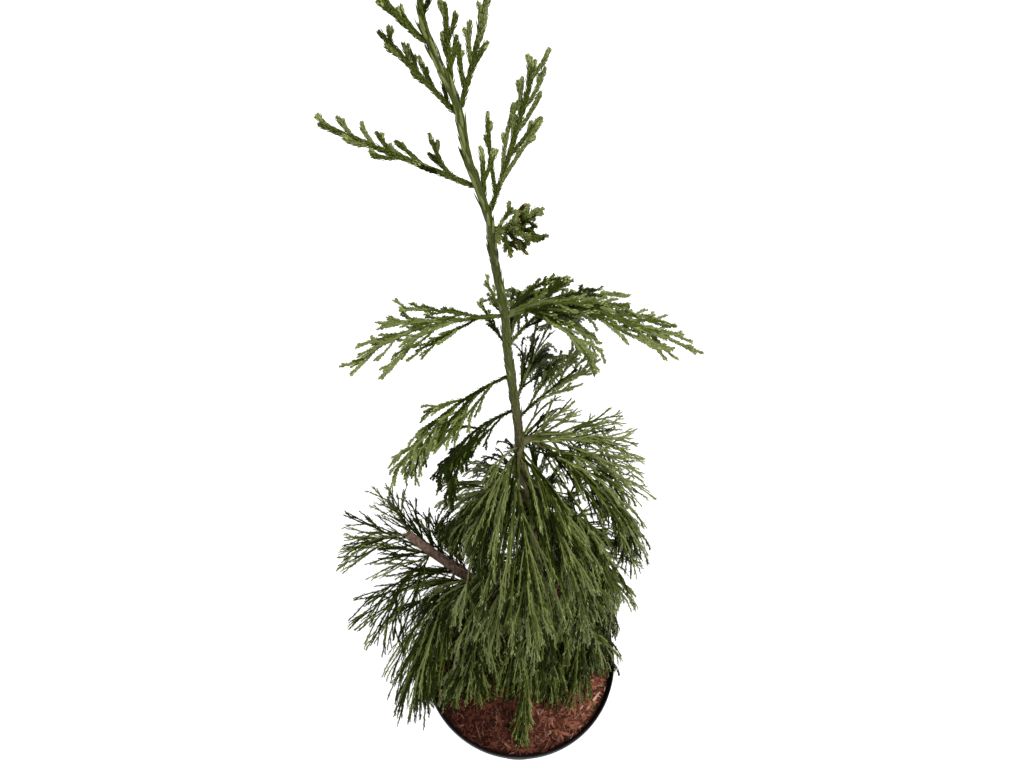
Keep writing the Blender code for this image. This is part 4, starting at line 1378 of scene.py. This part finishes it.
@dataclass
class Crown:
    """All cords and their scale leaves, dealt out to tones and joined into pieces."""

    skeleton: Skeleton
    stock: dict[tuple[str, Tone, bool], list[tuple[Array, Array, str]]] = field(default_factory=dict)

    def build(self) -> None:
        """Grows every mass, clothes it and joins the pieces."""
        total = 0.0
        for plume in self.skeleton.plumes:
            bundles = Grower(self.skeleton, plume).grow()
            for cords in bundles:
                self.clothe(cords)
            total += sum(float(path_lengths(cords.paths).sum()) for cords in bundles)
        for name in ("trunk", *(limb.name for limb in LIMBS if limb.name != WOODY)):
            self.clothe_limb(name)
        log.info("cords: %.1f m", total)
        for (kind, tone, rounded), parts in self.stock.items():
            self.join(kind, tone, rounded, parts)

    def facing(self, middles: Array, plume: Plume) -> Array:
        """Painted light and shade: how far sprays lie to the outer and upper side of their mass, as
        FACING_LIGHT from -1 to 1, so that outer ones are dealt lighter and inner ones darker greens.
        """
        stem = self.skeleton.stems[plume.name]
        centre = stem.mean(axis=0)
        outward = unit(np.array([centre[0], centre[1], 0.0]) + NO_LENGTH)
        away = (middles - centre) @ unit(outward + FACING_UP * UP) / (0.5 * plume.length + plume.reach)
        return FACING_LIGHT * np.clip(FACING_GAIN * away, -1.0, 1.0)

    def tones(self, glow: Array, middles: Array, plume: Plume,
              chance: Chance) -> list[tuple[Tone, Array]]:
        """Deals each spray its tone.

        Args:
            glow: how light each spray is dealt for its order and its place on its carrier, partly painted
                light, from 0 to about 1.
            middles: the middle of each spray.
            plume: the mass, whose light is added.
            chance: the generator of the last jitter.

        Returns:
            Each tone with the mask of its sprays.
        """
        # Light and shade are painted into the tone here: by glow, the mass's light and how far the spray lies
        # to its mass's outer and upper side
        level = glow + plume.light + chance.normal(0.0, TONE_JITTER, len(glow)) + self.facing(middles, plume)
        place = np.searchsorted(TONE_STEPS, level, side="right")
        return [(tone, place == step) for step, tone in enumerate((Tone.DEEP, Tone.BODY, Tone.FRESH))]

    def clothe(self, cords: Cords) -> None:
        """Adds the cores of some cords and the leaves round them to the stock."""
        if not len(cords.paths):
            return
        growth = GROWTH[cords.plume.habit]
        chance = np.random.default_rng(zlib.crc32(f"{cords.plume.name} {cords.order}".encode()))
        middles = cords.paths[:, cords.paths.shape[1] // 2]
        for tone, chosen in self.tones(cords.glow, middles, cords.plume, chance):
            if not chosen.any():
                continue
            paths, radii = cords.paths[chosen], cords.radii[chosen]
            core = self.cores(paths, growth.core * radii, growth.sides)
            self.keep("cords", Tone.TWIG if cords.woody() else tone, True, *core, cords.plume.name)
            self.leaves(paths, radii, growth, tone, cords, chance)

    def keep(self, kind: str, tone: Tone, rounded: bool, points: Array, faces: Array, name: str) -> None:
        """Puts a mesh into the stock under its kind and tone."""
        self.stock.setdefault((kind, tone, rounded), []).append((points, faces, name))

    @staticmethod
    def cores(paths: Array, radii: Array, sides: int) -> Mesh:
        """Tubes round many paths: rings of place + radius (normal cos a + side sin a), closed by poles.

        A tube of more than four sides ends in a dome of two more rings.

        Args:
            paths: (cords, points, 3) axes.
            radii: (cords, points) radii.
            sides: points to each ring.

        Returns:
            The points and faces of all tubes.
        """
        ways, ring = rings_about(paths, sides)
        rows = paths[:, :, None] + ring * radii[:, :, None, None]
        last, way = paths[:, -1:], ways[:, -1:]
        radius = radii[:, -1:, None]
        if sides > 4:
            dome = [
                (last + way * radius * rise)[:, :, None] + ring[:, -1:] * radius[..., None] * wide
                for rise, wide in ((0.55, 0.83), (0.88, 0.46))
            ]
            rows = np.concatenate([rows, *dome], axis=1)
        count, steps = rows.shape[:2]
        rows = rows.reshape(count, steps * sides, 3)
        points = np.concatenate([rows, paths[:, :1], last + way * radius], axis=1)
        shift = np.arange(count)[:, None, None] * points.shape[1]
        return points.reshape(-1, 3), (tube_faces(steps, sides)[None] + shift).reshape(-1, 3)

    @staticmethod
    def spiral(paths: Array, radii: Array, which: Array, share: Array, angle: Array, lift: Array,
               core: float, slew: Array | float = 0.0) -> tuple[Array, Array]:
        """Roots and axes of leaves round cords.

        A root is core times the radius off the axis, at normal cos a + side sin a. Its leaf leans
        out from the cord's way by lift, after slew has turned that way aside.

        Args:
            paths: (cords, points, 3) axes.
            radii: (cords, points) radii over the leaves.
            which: each leaf's cord.
            share: each leaf's place along it.
            angle: the angle round the cord, in radians.
            lift: the angle off the cord, in radians.
            core: the roots' share of the radius.
            slew: the turn aside.

        Returns:
            (leaves, 3) roots, and (leaves, 3, 3) axes: along, across and out.
        """
        ways, normals, sides = path_frames(paths)
        out = along_paths(normals, which, share) * np.cos(angle)[:, None]
        out = unit(out + along_paths(sides, which, share) * np.sin(angle)[:, None])
        way = unit(along_paths(ways, which, share))
        way = unit(way + np.cross(out, way) * slew)
        along = way * np.cos(lift)[:, None] + out * np.sin(lift)[:, None]
        over = out * np.cos(lift)[:, None] - way * np.sin(lift)[:, None]
        bare = core * along_paths(radii, which, share)
        place = along_paths(paths, which, share) + out * bare[:, None]
        return place, np.stack([along, np.cross(over, along), over], axis=1)

    def deal(self, kind: str, leaf: Scale, size: Array, spots: tuple[Array, Array],
             shares: tuple[tuple[Tone, Array], ...], name: str) -> None:
        """Puts leaves into the stock, those of each tone apart.

        Args:
            kind: the kind of piece.
            leaf: the leaf's form and usual sizes.
            size: each leaf's share of those sizes.
            spots: the leaves' roots and axes.
            shares: each tone with the mask of its leaves.
            name: the mass that they clothe, or nothing.
        """
        sizes = size[:, None] * np.array([leaf.length, leaf.width, leaf.keel])
        rounded = leaf.form is LeafForm.BOAT
        for tone, part in shares:
            if part.any():
                place, axes = (rows[part] for rows in spots)
                mesh = Template.repeat(Template.LEAVES[leaf.form], place, axes, sizes[part])
                self.keep(kind, tone, rounded, *mesh, name)

    def leaves(self, paths: Array, radii: Array, growth: Growth, tone: Tone, cords: Cords,
               chance: Chance) -> None:
        """Sets scale leaves round cords in a golden spiral, and deals the last ones the tip tone.

        A leaf is rooted on the core and its keel reaches the clad radius. Towards the tip leaves
        get shorter, so that they close over it.

        Args:
            paths: (cords, points, 3) axes.
            radii: (cords, points) radii over the leaves.
            growth: the habit's leaf and core.
            tone: the cords' tone.
            cords: the bundle that they come from.
            chance: the generator of their jitter.
        """
        leaf = growth.leaf
        lengths = path_lengths(paths)
        which, number, count = dealt_out(np.maximum((lengths / leaf.pitch).astype(int), LEAST_LEAVES))
        share = (number + 0.5 + chance.uniform(*PLACE_SPREAD, len(which))) / count
        angle = GOLDEN_ANGLE * number + chance.uniform(*LEAF_TURN, len(which))
        left = lengths[which] * (1.0 - share)
        bulk = np.clip(along_paths(radii, which, share) / cords.plume.thickness, *BULK_LIMITS)
        size = (BULK_SHARES[0] + BULK_SHARES[1] * bulk) * chance.uniform(*LEAF_SIZE, len(which))
        size *= np.clip((left + TIP_ROOM * leaf.length) / leaf.length, SHORTEST, 1.0)
        lift = np.radians(leaf.lift) * chance.uniform(*LEAF_LIFT, len(which))
        lift *= CLOSING[0] + CLOSING[1] * smooth(left, 0.0, CLOSING_RUN)
        spots = self.spiral(paths, radii, which, share, angle, lift, growth.core)
        young = self.young_leaves(cords, left, which, chance)
        tip = Tone.BRONZE if cords.plume.habit is TUFT else Tone.TIP
        self.deal("needles", leaf, size, spots, ((tone, ~young), (tip, young)), cords.plume.name)

    @staticmethod
    def young_leaves(cords: Cords, left: Array, which: Array, chance: Chance) -> Array:
        """Which leaves are this year's: those within some millimetres of a bright cord's tip."""
        most = np.clip(YOUNG_SHARE + cords.plume.light, *YOUNG_LIMITS)
        bright = chance.random(int(which.max()) + 1) < most
        if cords.woody():
            return np.zeros(len(left), bool)
        return (left < GROWTH[cords.plume.habit].new_growth) & bright[which]

    def clothe_limb(self, name: str) -> None:
        """Lays long flat scales on a young limb: they hug it, and their tips stand free."""
        points, radii = self.skeleton.limbs[name]
        chance = np.random.default_rng(zlib.crc32(name.encode()))
        clad = points[:, 2] > (CLAD_FROM if name == "trunk" else 0.0)
        path, thick = resample(points[clad], LIMB_SCALE_STEP), radii[clad]
        thick = np.interp(np.linspace(0, 1, len(path)), np.linspace(0, 1, len(thick)), thick)
        count = int(path_lengths(path) / LIMB_SCALE.pitch)
        number = np.arange(count)
        share = (number + 0.5) / count
        angle = GOLDEN_ANGLE * number + chance.uniform(*LIMB_TURN, count)
        slew = chance.normal(0.0, LIMB_SLEW, count)[:, None]
        lift = np.radians(LIMB_SCALE.lift) * chance.uniform(*LIMB_LIFT, count)
        course = (path[None], thick[None], np.zeros(count, int), share, angle, lift, LIMB_SCALE_ROOT)
        place, axes = self.spiral(*course, slew)
        size = chance.uniform(*LIMB_SIZE, count)
        height = place[:, 2] + chance.normal(0.0, AGE_JITTER, count)
        bright = (height >= FRESH_ABOVE) & (chance.random(count) < FRESH_SHARE)
        body = (height >= TWIG_BELOW) & ~bright
        shares = ((Tone.TWIG, height < TWIG_BELOW), (Tone.BODY, body), (Tone.FRESH, bright))
        self.deal("scales", LIMB_SCALE, size, (place, axes), shares, "")

    @staticmethod
    def join(kind: str, tone: Tone, rounded: bool, parts: list[tuple[Array, Array, str]]) -> None:
        """Joins meshes of one kind and tone into pieces below the limit on triangles."""
        batch: list[tuple[Array, Array, str]] = []
        number, size = 1, 0
        for part in [*parts, None]:
            if part is None or size + len(part[1]) > MOST_TRIANGLES:
                shifts = np.cumsum([0] + [len(points) for points, _, _ in batch[:-1]])
                points = np.vstack([points for points, _, _ in batch])
                faces = np.vstack([faces + shift for (_, faces, _), shift in zip(batch, shifts)])
                grade = "fine" if rounded and kind == "needles" else "plain"
                piece = mesh_object(f"{kind}_{tone.name.lower()}_{grade}_{number}", points, faces, rounded)
                nodes = sorted({name for _, _, name in batch if name})
                dress(piece, tone.value.material(), nodes)
                batch, size, number = [], 0, number + 1
            if part is not None:
                batch.append(part)
                size += len(part[1])


@dataclass
class Woodwork:
    """Trunk and boughs as tubes with the bark's relief.

    slim is how much thinner the trunk is where scales clad it, over blend metres each way. foot is
    how much a bough swells at its foot, over foot_run of its radii. The woody bough is stout times
    as thick, and knot thicker at its knot, which is knot_run of its length wide. relief_range are
    the radii between which the relief grows from the first to the sum of relief_shares.
    """

    skeleton: Skeleton
    slim: float = 0.24
    blend: float = 0.02
    foot: float = 0.55
    foot_run: float = 1.6
    stout: float = 1.10
    knot: float = 0.28
    knot_run: float = 0.07
    relief_range: tuple[float, float] = (0.002, 0.008)
    relief_shares: tuple[float, float] = (0.03, 0.05)
    around: int = 48
    rings: int = 60
    trunk_rings: int = 620
    woody_rings: int = 220

    def build(self) -> None:
        """Builds the trunk and then every bough."""
        brown = ((0.060, 0.030, 0.018), (0.150, 0.086, 0.055), (0.050, 0.060, 0.013))
        rosy = ((0.105, 0.058, 0.040), (0.270, 0.180, 0.135), (0.210, 0.145, 0.105))
        olive = ((0.060, 0.040, 0.020), (0.120, 0.085, 0.045), (0.085, 0.095, 0.032))
        trunk = Bark("trunk_bark", *brown, 0.52, 0.74)
        woody = Bark("woody_bark", *rosy, 0.40, 0.60)
        young = Bark("young_bough_bark", *olive, 0.45, 0.85)
        for name in self.skeleton.limbs:
            finish = {"trunk": trunk, WOODY: woody}.get(name, young)
            rings = {"trunk": self.trunk_rings, WOODY: self.woody_rings}.get(name, self.rings)
            self.limb(name, rings, finish)

    def limb(self, name: str, rings: int, finish: Bark) -> None:
        """Builds one limb: radius + relief of fibres, wrinkles and a collar at its foot.

        Args:
            name: the limb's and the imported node's name.
            rings: rings along it.
            finish: its bark.
        """
        points, radii = self.skeleton.limbs[name]
        share = np.linspace(0.0, 1.0, rings)
        knots = np.linspace(0.0, 1.0, len(points))
        path = np.stack([np.interp(share, knots, points[:, k]) for k in range(3)], axis=1)
        radius = np.interp(share, knots, radii)
        length = path_lengths(path)
        if name == "trunk":
            clad = smooth(path[:, 2], CLAD_FROM - self.blend, CLAD_FROM + self.blend)
            radius = radius * (1.0 - self.slim * clad)
        else:
            radius = radius * (1.0 + self.foot * np.exp(-share * length / (self.foot_run * radius)))
        if name == WOODY:
            away = (share - KNOT) / self.knot_run
            radius = radius * (self.stout + self.knot * np.exp(-(away**2)))
        ring = rings_about(path[None], self.around)[1][0]
        rough = smooth(radius, *self.relief_range)[:, None]
        even, more = self.relief_shares
        relief = self.relief(circle(self.around), share * length, zlib.crc32(name.encode()) % 1000)
        thick = radius[:, None] * (1.0 + (even + more * rough) * relief)
        rows = path[:, None] + ring * thick[:, :, None]
        if name == "trunk":
            rows[0, :, 2] = path[0, 2]
        ends = np.stack([path[0], path[-1]])
        mesh_points = np.vstack([rows.reshape(-1, 3), ends])
        piece = mesh_object(f"{name}_bark", mesh_points, tube_faces(rings, self.around), True)
        dress(piece, finish.material(), [name])

    @staticmethod
    def relief(angle: Array, along: Array, seed: int) -> Array:
        """Bark relief from -1 to about 1: long fibres, broken plates and wrinkles across.

        Args:
            angle: the angles round the limb.
            along: the places along it, in metres.
            seed: picks the field.

        Returns:
            (along, angle) heights: noise read on a cylinder, stretched along the limb.
        """
        turn = np.broadcast_to(angle, (len(along), len(angle)))
        run = np.broadcast_to(along[:, None], turn.shape)
        twist = turn + 0.8 * np.sin(run / 0.05)

        def field_of(grain: float, stretch: float, number: int) -> Array:
            places = np.stack([grain * np.cos(twist), grain * np.sin(twist), run / stretch], axis=-1)
            return value_noise(places + 50.0, seed + number)

        fibres = 1.0 - 2.0 * np.abs(field_of(4.5, 0.014, 1))
        plates = field_of(2.0, 0.030, 2)
        wrinkles = field_of(1.2, 0.0022, 3)
        return 0.9 * fibres + 0.8 * plates + 0.35 * wrinkles


@dataclass
class Mulch:
    """The bed of bark mulch: a lumpy fill under chips and fibres.

    lumps are octaves of noise: their height and width in metres, shift and seed. fall is how much
    the bed falls from fall_from to its edge. low are the radii and heights of its wall's foot and
    its floor. Chips vary by size_spread, tilt by tilt degrees and roll by roll radians. heap is how
    high they pile up, margin keeps them off the wall, and bend is how far their corners stray.
    trunk_place and trunk_room keep them off the trunk.
    """

    edge: float = 0.1107
    bed_top: float = MULCH_TOP - 0.0016
    lumps: tuple[tuple[float, float, float, int], ...] = ((0.0014, 0.012, 9.0, 5), (0.0009, 0.005, 3.0, 6))
    fall: float = 0.0004
    fall_from: float = 0.085
    low: tuple[tuple[float, float], ...] = ((0.0745, 0.0078), (0.069, 0.0029))
    size_spread: float = 0.38
    tilt: float = 13.0
    roll: float = 0.5
    heap: float = 0.0016
    margin: float = 0.0006
    bend: float = 0.13
    trunk_place: float = 0.010
    trunk_room: float = 0.0150
    around: int = 160
    rings: int = 56

    def build(self) -> None:
        """Builds the bed, the chips and the fibres."""
        self.bed()
        for name, dark, pale, count, size, seed in (
            ("dark", (0.066, 0.019, 0.010), (0.125, 0.042, 0.025), 1500, (0.0085, 0.0026, 0.0010), 11),
            ("red", (0.185, 0.060, 0.034), (0.285, 0.110, 0.068), 1800, (0.0100, 0.0023, 0.0009), 12),
            ("tan", (0.360, 0.185, 0.125), (0.500, 0.305, 0.225), 480, (0.0090, 0.0015, 0.0006), 13),
            ("fibre", (0.220, 0.090, 0.055), (0.330, 0.170, 0.120), 800, (0.0150, 0.0006, 0.0004), 14),
        ):
            self.chips(Chip(f"mulch_{name}", dark, pale), count, size, seed)

    def height(self, x: Array, y: Array) -> Array:
        """The bed's height: octaves of noise, and a slight fall to the wall."""
        places = np.stack([x, y, np.zeros_like(x)], axis=-1)
        lumps = sum(high * value_noise(places / wide + shift, seed) for high, wide, shift, seed in self.lumps)
        return self.bed_top + lumps - self.fall * smooth(np.hypot(x, y), self.fall_from, self.edge)

    def bed(self) -> None:
        """The fill: a lumpy polar grid on top, and a plain tapering wall and floor under it."""
        radius = self.edge * np.linspace(0.02, 1.0, self.rings)[:, None]
        top = turned(radius, 0.0, self.around)
        top[..., 2] = self.height(top[..., 0], top[..., 1])
        low = np.array(self.low)
        rows = np.concatenate([top, turned(low[:, :1], low[:, 1:], self.around)])
        poles = np.array([(0.0, 0.0, float(top[0, :, 2].mean())), (0.0, 0.0, low[-1, 1])])
        faces = tube_faces(len(rows), self.around)[:, ::-1]
        piece = mesh_object("mulch_bed", np.vstack([rows.reshape(-1, 3), poles]), faces, True)
        finish = Chip("mulch_bed", (0.030, 0.011, 0.007), (0.085, 0.034, 0.020))
        dress(piece, finish.material(), ["bark_mulch"])

    def chips(self, finish: Chip, count: int, size: tuple[float, float, float], seed: int) -> None:
        """Slivers of bark that lie on the bed, each a bent bar of three unlike sections.

        Args:
            finish: their finish.
            count: how many are tried; those at the trunk or over the edge are dropped.
            size: their usual length, width and thickness.
            seed: seeds their generator.
        """
        chance = np.random.default_rng(seed)
        radius = self.edge * np.sqrt(chance.random(count))
        turn = chance.uniform(0.0, 2.0 * np.pi, count)
        x, y = radius * np.cos(turn), radius * np.sin(turn)
        sizes = np.array(size) * np.exp(chance.normal(0.0, self.size_spread, (count, 3)))
        tilt = np.radians(chance.normal(0.0, self.tilt, count))
        along = heading(np.degrees(chance.uniform(0.0, 2.0 * np.pi, count)), np.degrees(tilt))
        roll = chance.normal(0.0, self.roll, count)
        flat = unit(np.cross(UP, along))
        over = np.cross(along, flat)
        across = flat * np.cos(roll)[:, None] + over * np.sin(roll)[:, None]
        axes = np.stack([along, across, np.cross(along, across)], axis=1)
        lift = 0.5 * sizes[:, 2] + 0.27 * sizes[:, 0] * np.abs(np.sin(tilt))
        lift += chance.uniform(0, self.heap, count)
        place = np.stack([x, y, self.height(x, y) + lift], axis=1)
        ends = [place + along * (sizes[:, :1] * part) for part in (-0.5, 0.5)]
        inside = np.all([np.hypot(*end.T[:2]) < self.edge - self.margin for end in ends], axis=0)
        clear = np.hypot(x - self.trunk_place, y) > self.trunk_room + 0.4 * sizes[:, 0]
        kept = inside & clear
        sliver = self.sliver(chance)
        points, faces = Template.repeat(sliver, place[kept], axes[kept], sizes[kept])
        points = points.reshape(kept.sum(), -1, 3)
        jitter = chance.normal(0.0, self.bend, points.shape) * sizes[kept][:, None, 2:]
        piece = mesh_object(finish.name + "_chips", (points + jitter).reshape(-1, 3), faces, False)
        dress(piece, finish.material(), [])

    @staticmethod
    def sliver(chance: Chance) -> Mesh:
        """A bar of four rings of four corners, narrower and bent at its ends."""
        steps = np.array([-0.5, -0.18, 0.2, 0.5])
        wide = np.array([0.45, 1.0, 0.9, 0.3])
        bend = np.array([0.35, 0.0, 0.05, 0.6])
        corners = np.array([(-0.5, -0.5), (0.5, -0.5), (0.5, 0.5), (-0.5, 0.5)])
        points = np.array(
            [(s, w * c, b + w * h) for s, w, b in zip(steps, wide, bend) for c, h in corners]
        )
        caps = np.array([(0, 2, 1), (0, 3, 2), (12, 13, 14), (12, 14, 15)])
        return points, np.vstack([grid_faces(4, 4), caps])


@dataclass
class Pot:
    """The round nursery pot: a turned wall with a rolled rim, a stacking step and drain holes."""

    around: int = 192
    hole_radius: float = 0.0055
    hole_ring: float = 0.055
    holes: int = 6

    def outline(self) -> Array:
        """The profile as radius and height: out along the base, up outside, over the rim, down inside."""
        roll, low, centre = 0.0011, 0.006, 0.004
        skirt = POT_HEIGHT - RIM_DEPTH
        neck = skirt - 0.0010
        base = np.array(
            [
                (centre, 0.0), (0.0470, 0.0), (0.0480, 0.0006), (0.0620, 0.0006), (0.0630, 0.0),
                (POT_BASE_RADIUS - 0.0040, 0.0), (POT_BASE_RADIUS - 0.0010, 0.0022),
            ]
        )
        rise = np.linspace(0.0, 1.0, 30)[:-1]
        height = low + (neck - low) * rise
        step = 0.0006 * (smooth(height, 0.150, 0.1525) - 1.0) * smooth(rise, 0.0, 0.2)
        wide = POT_BASE_RADIUS + (POT_NECK_RADIUS - POT_BASE_RADIUS) * rise + step
        outer = np.stack([wide, height], axis=1)
        under = np.array(
            [(POT_NECK_RADIUS, neck), (POT_RIM_RADIUS - 0.0008, skirt), (POT_RIM_RADIUS, skirt + 0.0006)]
        )
        turn = np.linspace(np.radians(-40), np.radians(200), 14)
        lip = np.stack([np.cos(turn) - 1.0, np.sin(turn) - 1.0], axis=1) * roll
        lip += np.array([POT_RIM_RADIUS, POT_HEIGHT])
        inside = np.array([(POT_RIM_RADIUS - 2 * roll, skirt + 0.001), (POT_NECK_RADIUS - POT_WALL, neck)])
        inner = outer[::-1] + np.array([-POT_WALL, 0.0])
        floor = np.array([(0.0730, 0.0042), (0.0690, POT_FLOOR), (centre, POT_FLOOR)])
        return np.vstack([base, outer, under, lip, inside, inner, floor])

    def build(self) -> None:
        """Turns the profile, cuts the drain holes and dresses the pot."""
        outline = self.outline()
        rows = turned(outline[:, :1], outline[:, 1:], self.around)
        points = np.vstack([rows.reshape(-1, 3), (0.0, 0.0, 0.0), (0.0, 0.0, POT_FLOOR)])
        pot = mesh_object("nursery_pot", points, tube_faces(len(rows), self.around), True)
        self.drain(pot)
        pot.data.set_sharp_from_angle(angle=math.radians(35))
        finish = Plastic("pot_plastic", (0.0045, 0.0045, 0.0050), (0.011, 0.010, 0.010))
        dress(pot, finish.material(), ["pot"])

    def drain(self, pot: bpy.types.Object) -> None:
        """Cuts the ring of drain holes through the floor."""
        cutters = bpy.data.collections.new("drain_cutters")
        for index in range(self.holes):
            turn = 2.0 * math.pi * (index + 0.5) / self.holes
            middle = (self.hole_ring * math.cos(turn), self.hole_ring * math.sin(turn), POT_FLOOR / 2)
            cutter = bpy.data.objects.new(f"drain_{index}", bpy.data.meshes.new(f"drain_{index}"))
            form = bmesh.new()
            bmesh.ops.create_cone(
                form, cap_ends=True, segments=32, radius1=self.hole_radius, radius2=self.hole_radius,
                depth=0.02, matrix=Matrix.Translation(Vector(middle)),
            )
            form.to_mesh(cutter.data)
            form.free()
            cutters.objects.link(cutter)
        cut = pot.modifiers.new("drain", "BOOLEAN")
        cut.operation = "DIFFERENCE"
        cut.operand_type = "COLLECTION"
        cut.collection = cutters
        graph = bpy.context.evaluated_depsgraph_get()
        drained = bpy.data.meshes.new_from_object(pot.evaluated_get(graph))
        form = bmesh.new()
        form.from_mesh(drained)
        bmesh.ops.dissolve_degenerate(form, dist=NO_LENGTH, edges=form.edges)
        form.to_mesh(drained)
        form.free()
        pot.modifiers.clear()
        pot.data = drained
        for cutter in list(cutters.objects):
            bpy.data.objects.remove(cutter)
        bpy.data.collections.remove(cutters)


@dataclass
class Studio:
    """Camera, soft lights and a pale floor."""

    place: tuple[float, float, float] = (-0.009, -0.318, 1.104)
    look_down: float = 51.0
    lens: float = 26.37
    middle: tuple[float, float, float] = (0.0, 0.0, 0.5)

    def build(self) -> None:
        """Sets the camera, the lights, the world, the floor and plain colours."""
        camera = bpy.data.objects.new("camera", bpy.data.cameras.new("camera"))
        camera.data.sensor_width = 36.0
        camera.data.lens = self.lens
        camera.data.clip_start = 0.01
        camera.location = self.place
        camera.rotation_euler = (math.radians(90.0 - self.look_down), 0.0, 0.0)
        bpy.context.scene.collection.objects.link(camera)
        bpy.context.scene.camera = camera
        self.lamp("sun", "SUN", (0.75, -1.0, 3.1), 3.7).angle = math.radians(28.0)
        self.lamp("fill", "AREA", (-1.9, -1.2, 1.6), 9.0).size = 1.8
        self.lamp("back", "AREA", (-0.6, 2.2, 2.2), 9.0).size = 1.6
        bpy.context.scene.view_settings.view_transform = "Standard"
        self.world()
        self.floor()

    def lamp(self, name: str, kind: str, place: tuple[float, float, float],
             power: float) -> bpy.types.Light:
        """A lamp at a place, which faces the middle of the plant."""
        item = bpy.data.objects.new(name, bpy.data.lights.new(name, kind))
        item.data.energy = power
        item.location = place
        item.rotation_euler = (Vector(self.middle) - Vector(place)).to_track_quat("-Z", "Y").to_euler()
        bpy.context.scene.collection.objects.link(item)
        return item.data

    @staticmethod
    def world() -> None:
        """An even white surrounding."""
        world = bpy.data.worlds.new("studio")
        world.use_nodes = True
        fill(world.node_tree.nodes["Background"], Color=(1.0, 1.0, 1.0, 1.0), Strength=0.40)
        bpy.context.scene.world = world

    @staticmethod
    def floor() -> None:
        """A wide floor under the pot, which glows a little so that it stays white in the shade."""
        bpy.ops.mesh.primitive_plane_add(size=14.0, location=(0.0, 0.0, -0.0004))
        floor = bpy.context.active_object
        floor.name = "floor"
        shader = Shader("floor_paint", 0.9, 0.2)
        fill(shader.shader, Base_Color=(0.30, 0.30, 0.30, 1.0), Emission_Color=(1.0, 1.0, 1.0, 1.0),
             Emission_Strength=0.90)
        floor.data.materials.append(shader.material)


def main() -> None:
    """Builds every sub-assembly in order."""
    logging.basicConfig(level=logging.INFO, format="%(message)s")
    skeleton = Skeleton()
    skeleton.build()
    Pot().build()
    Mulch().build()
    Woodwork(skeleton).build()
    Crown(skeleton).build()
    Studio().build()
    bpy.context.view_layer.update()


if __name__ == "__main__":
    main()
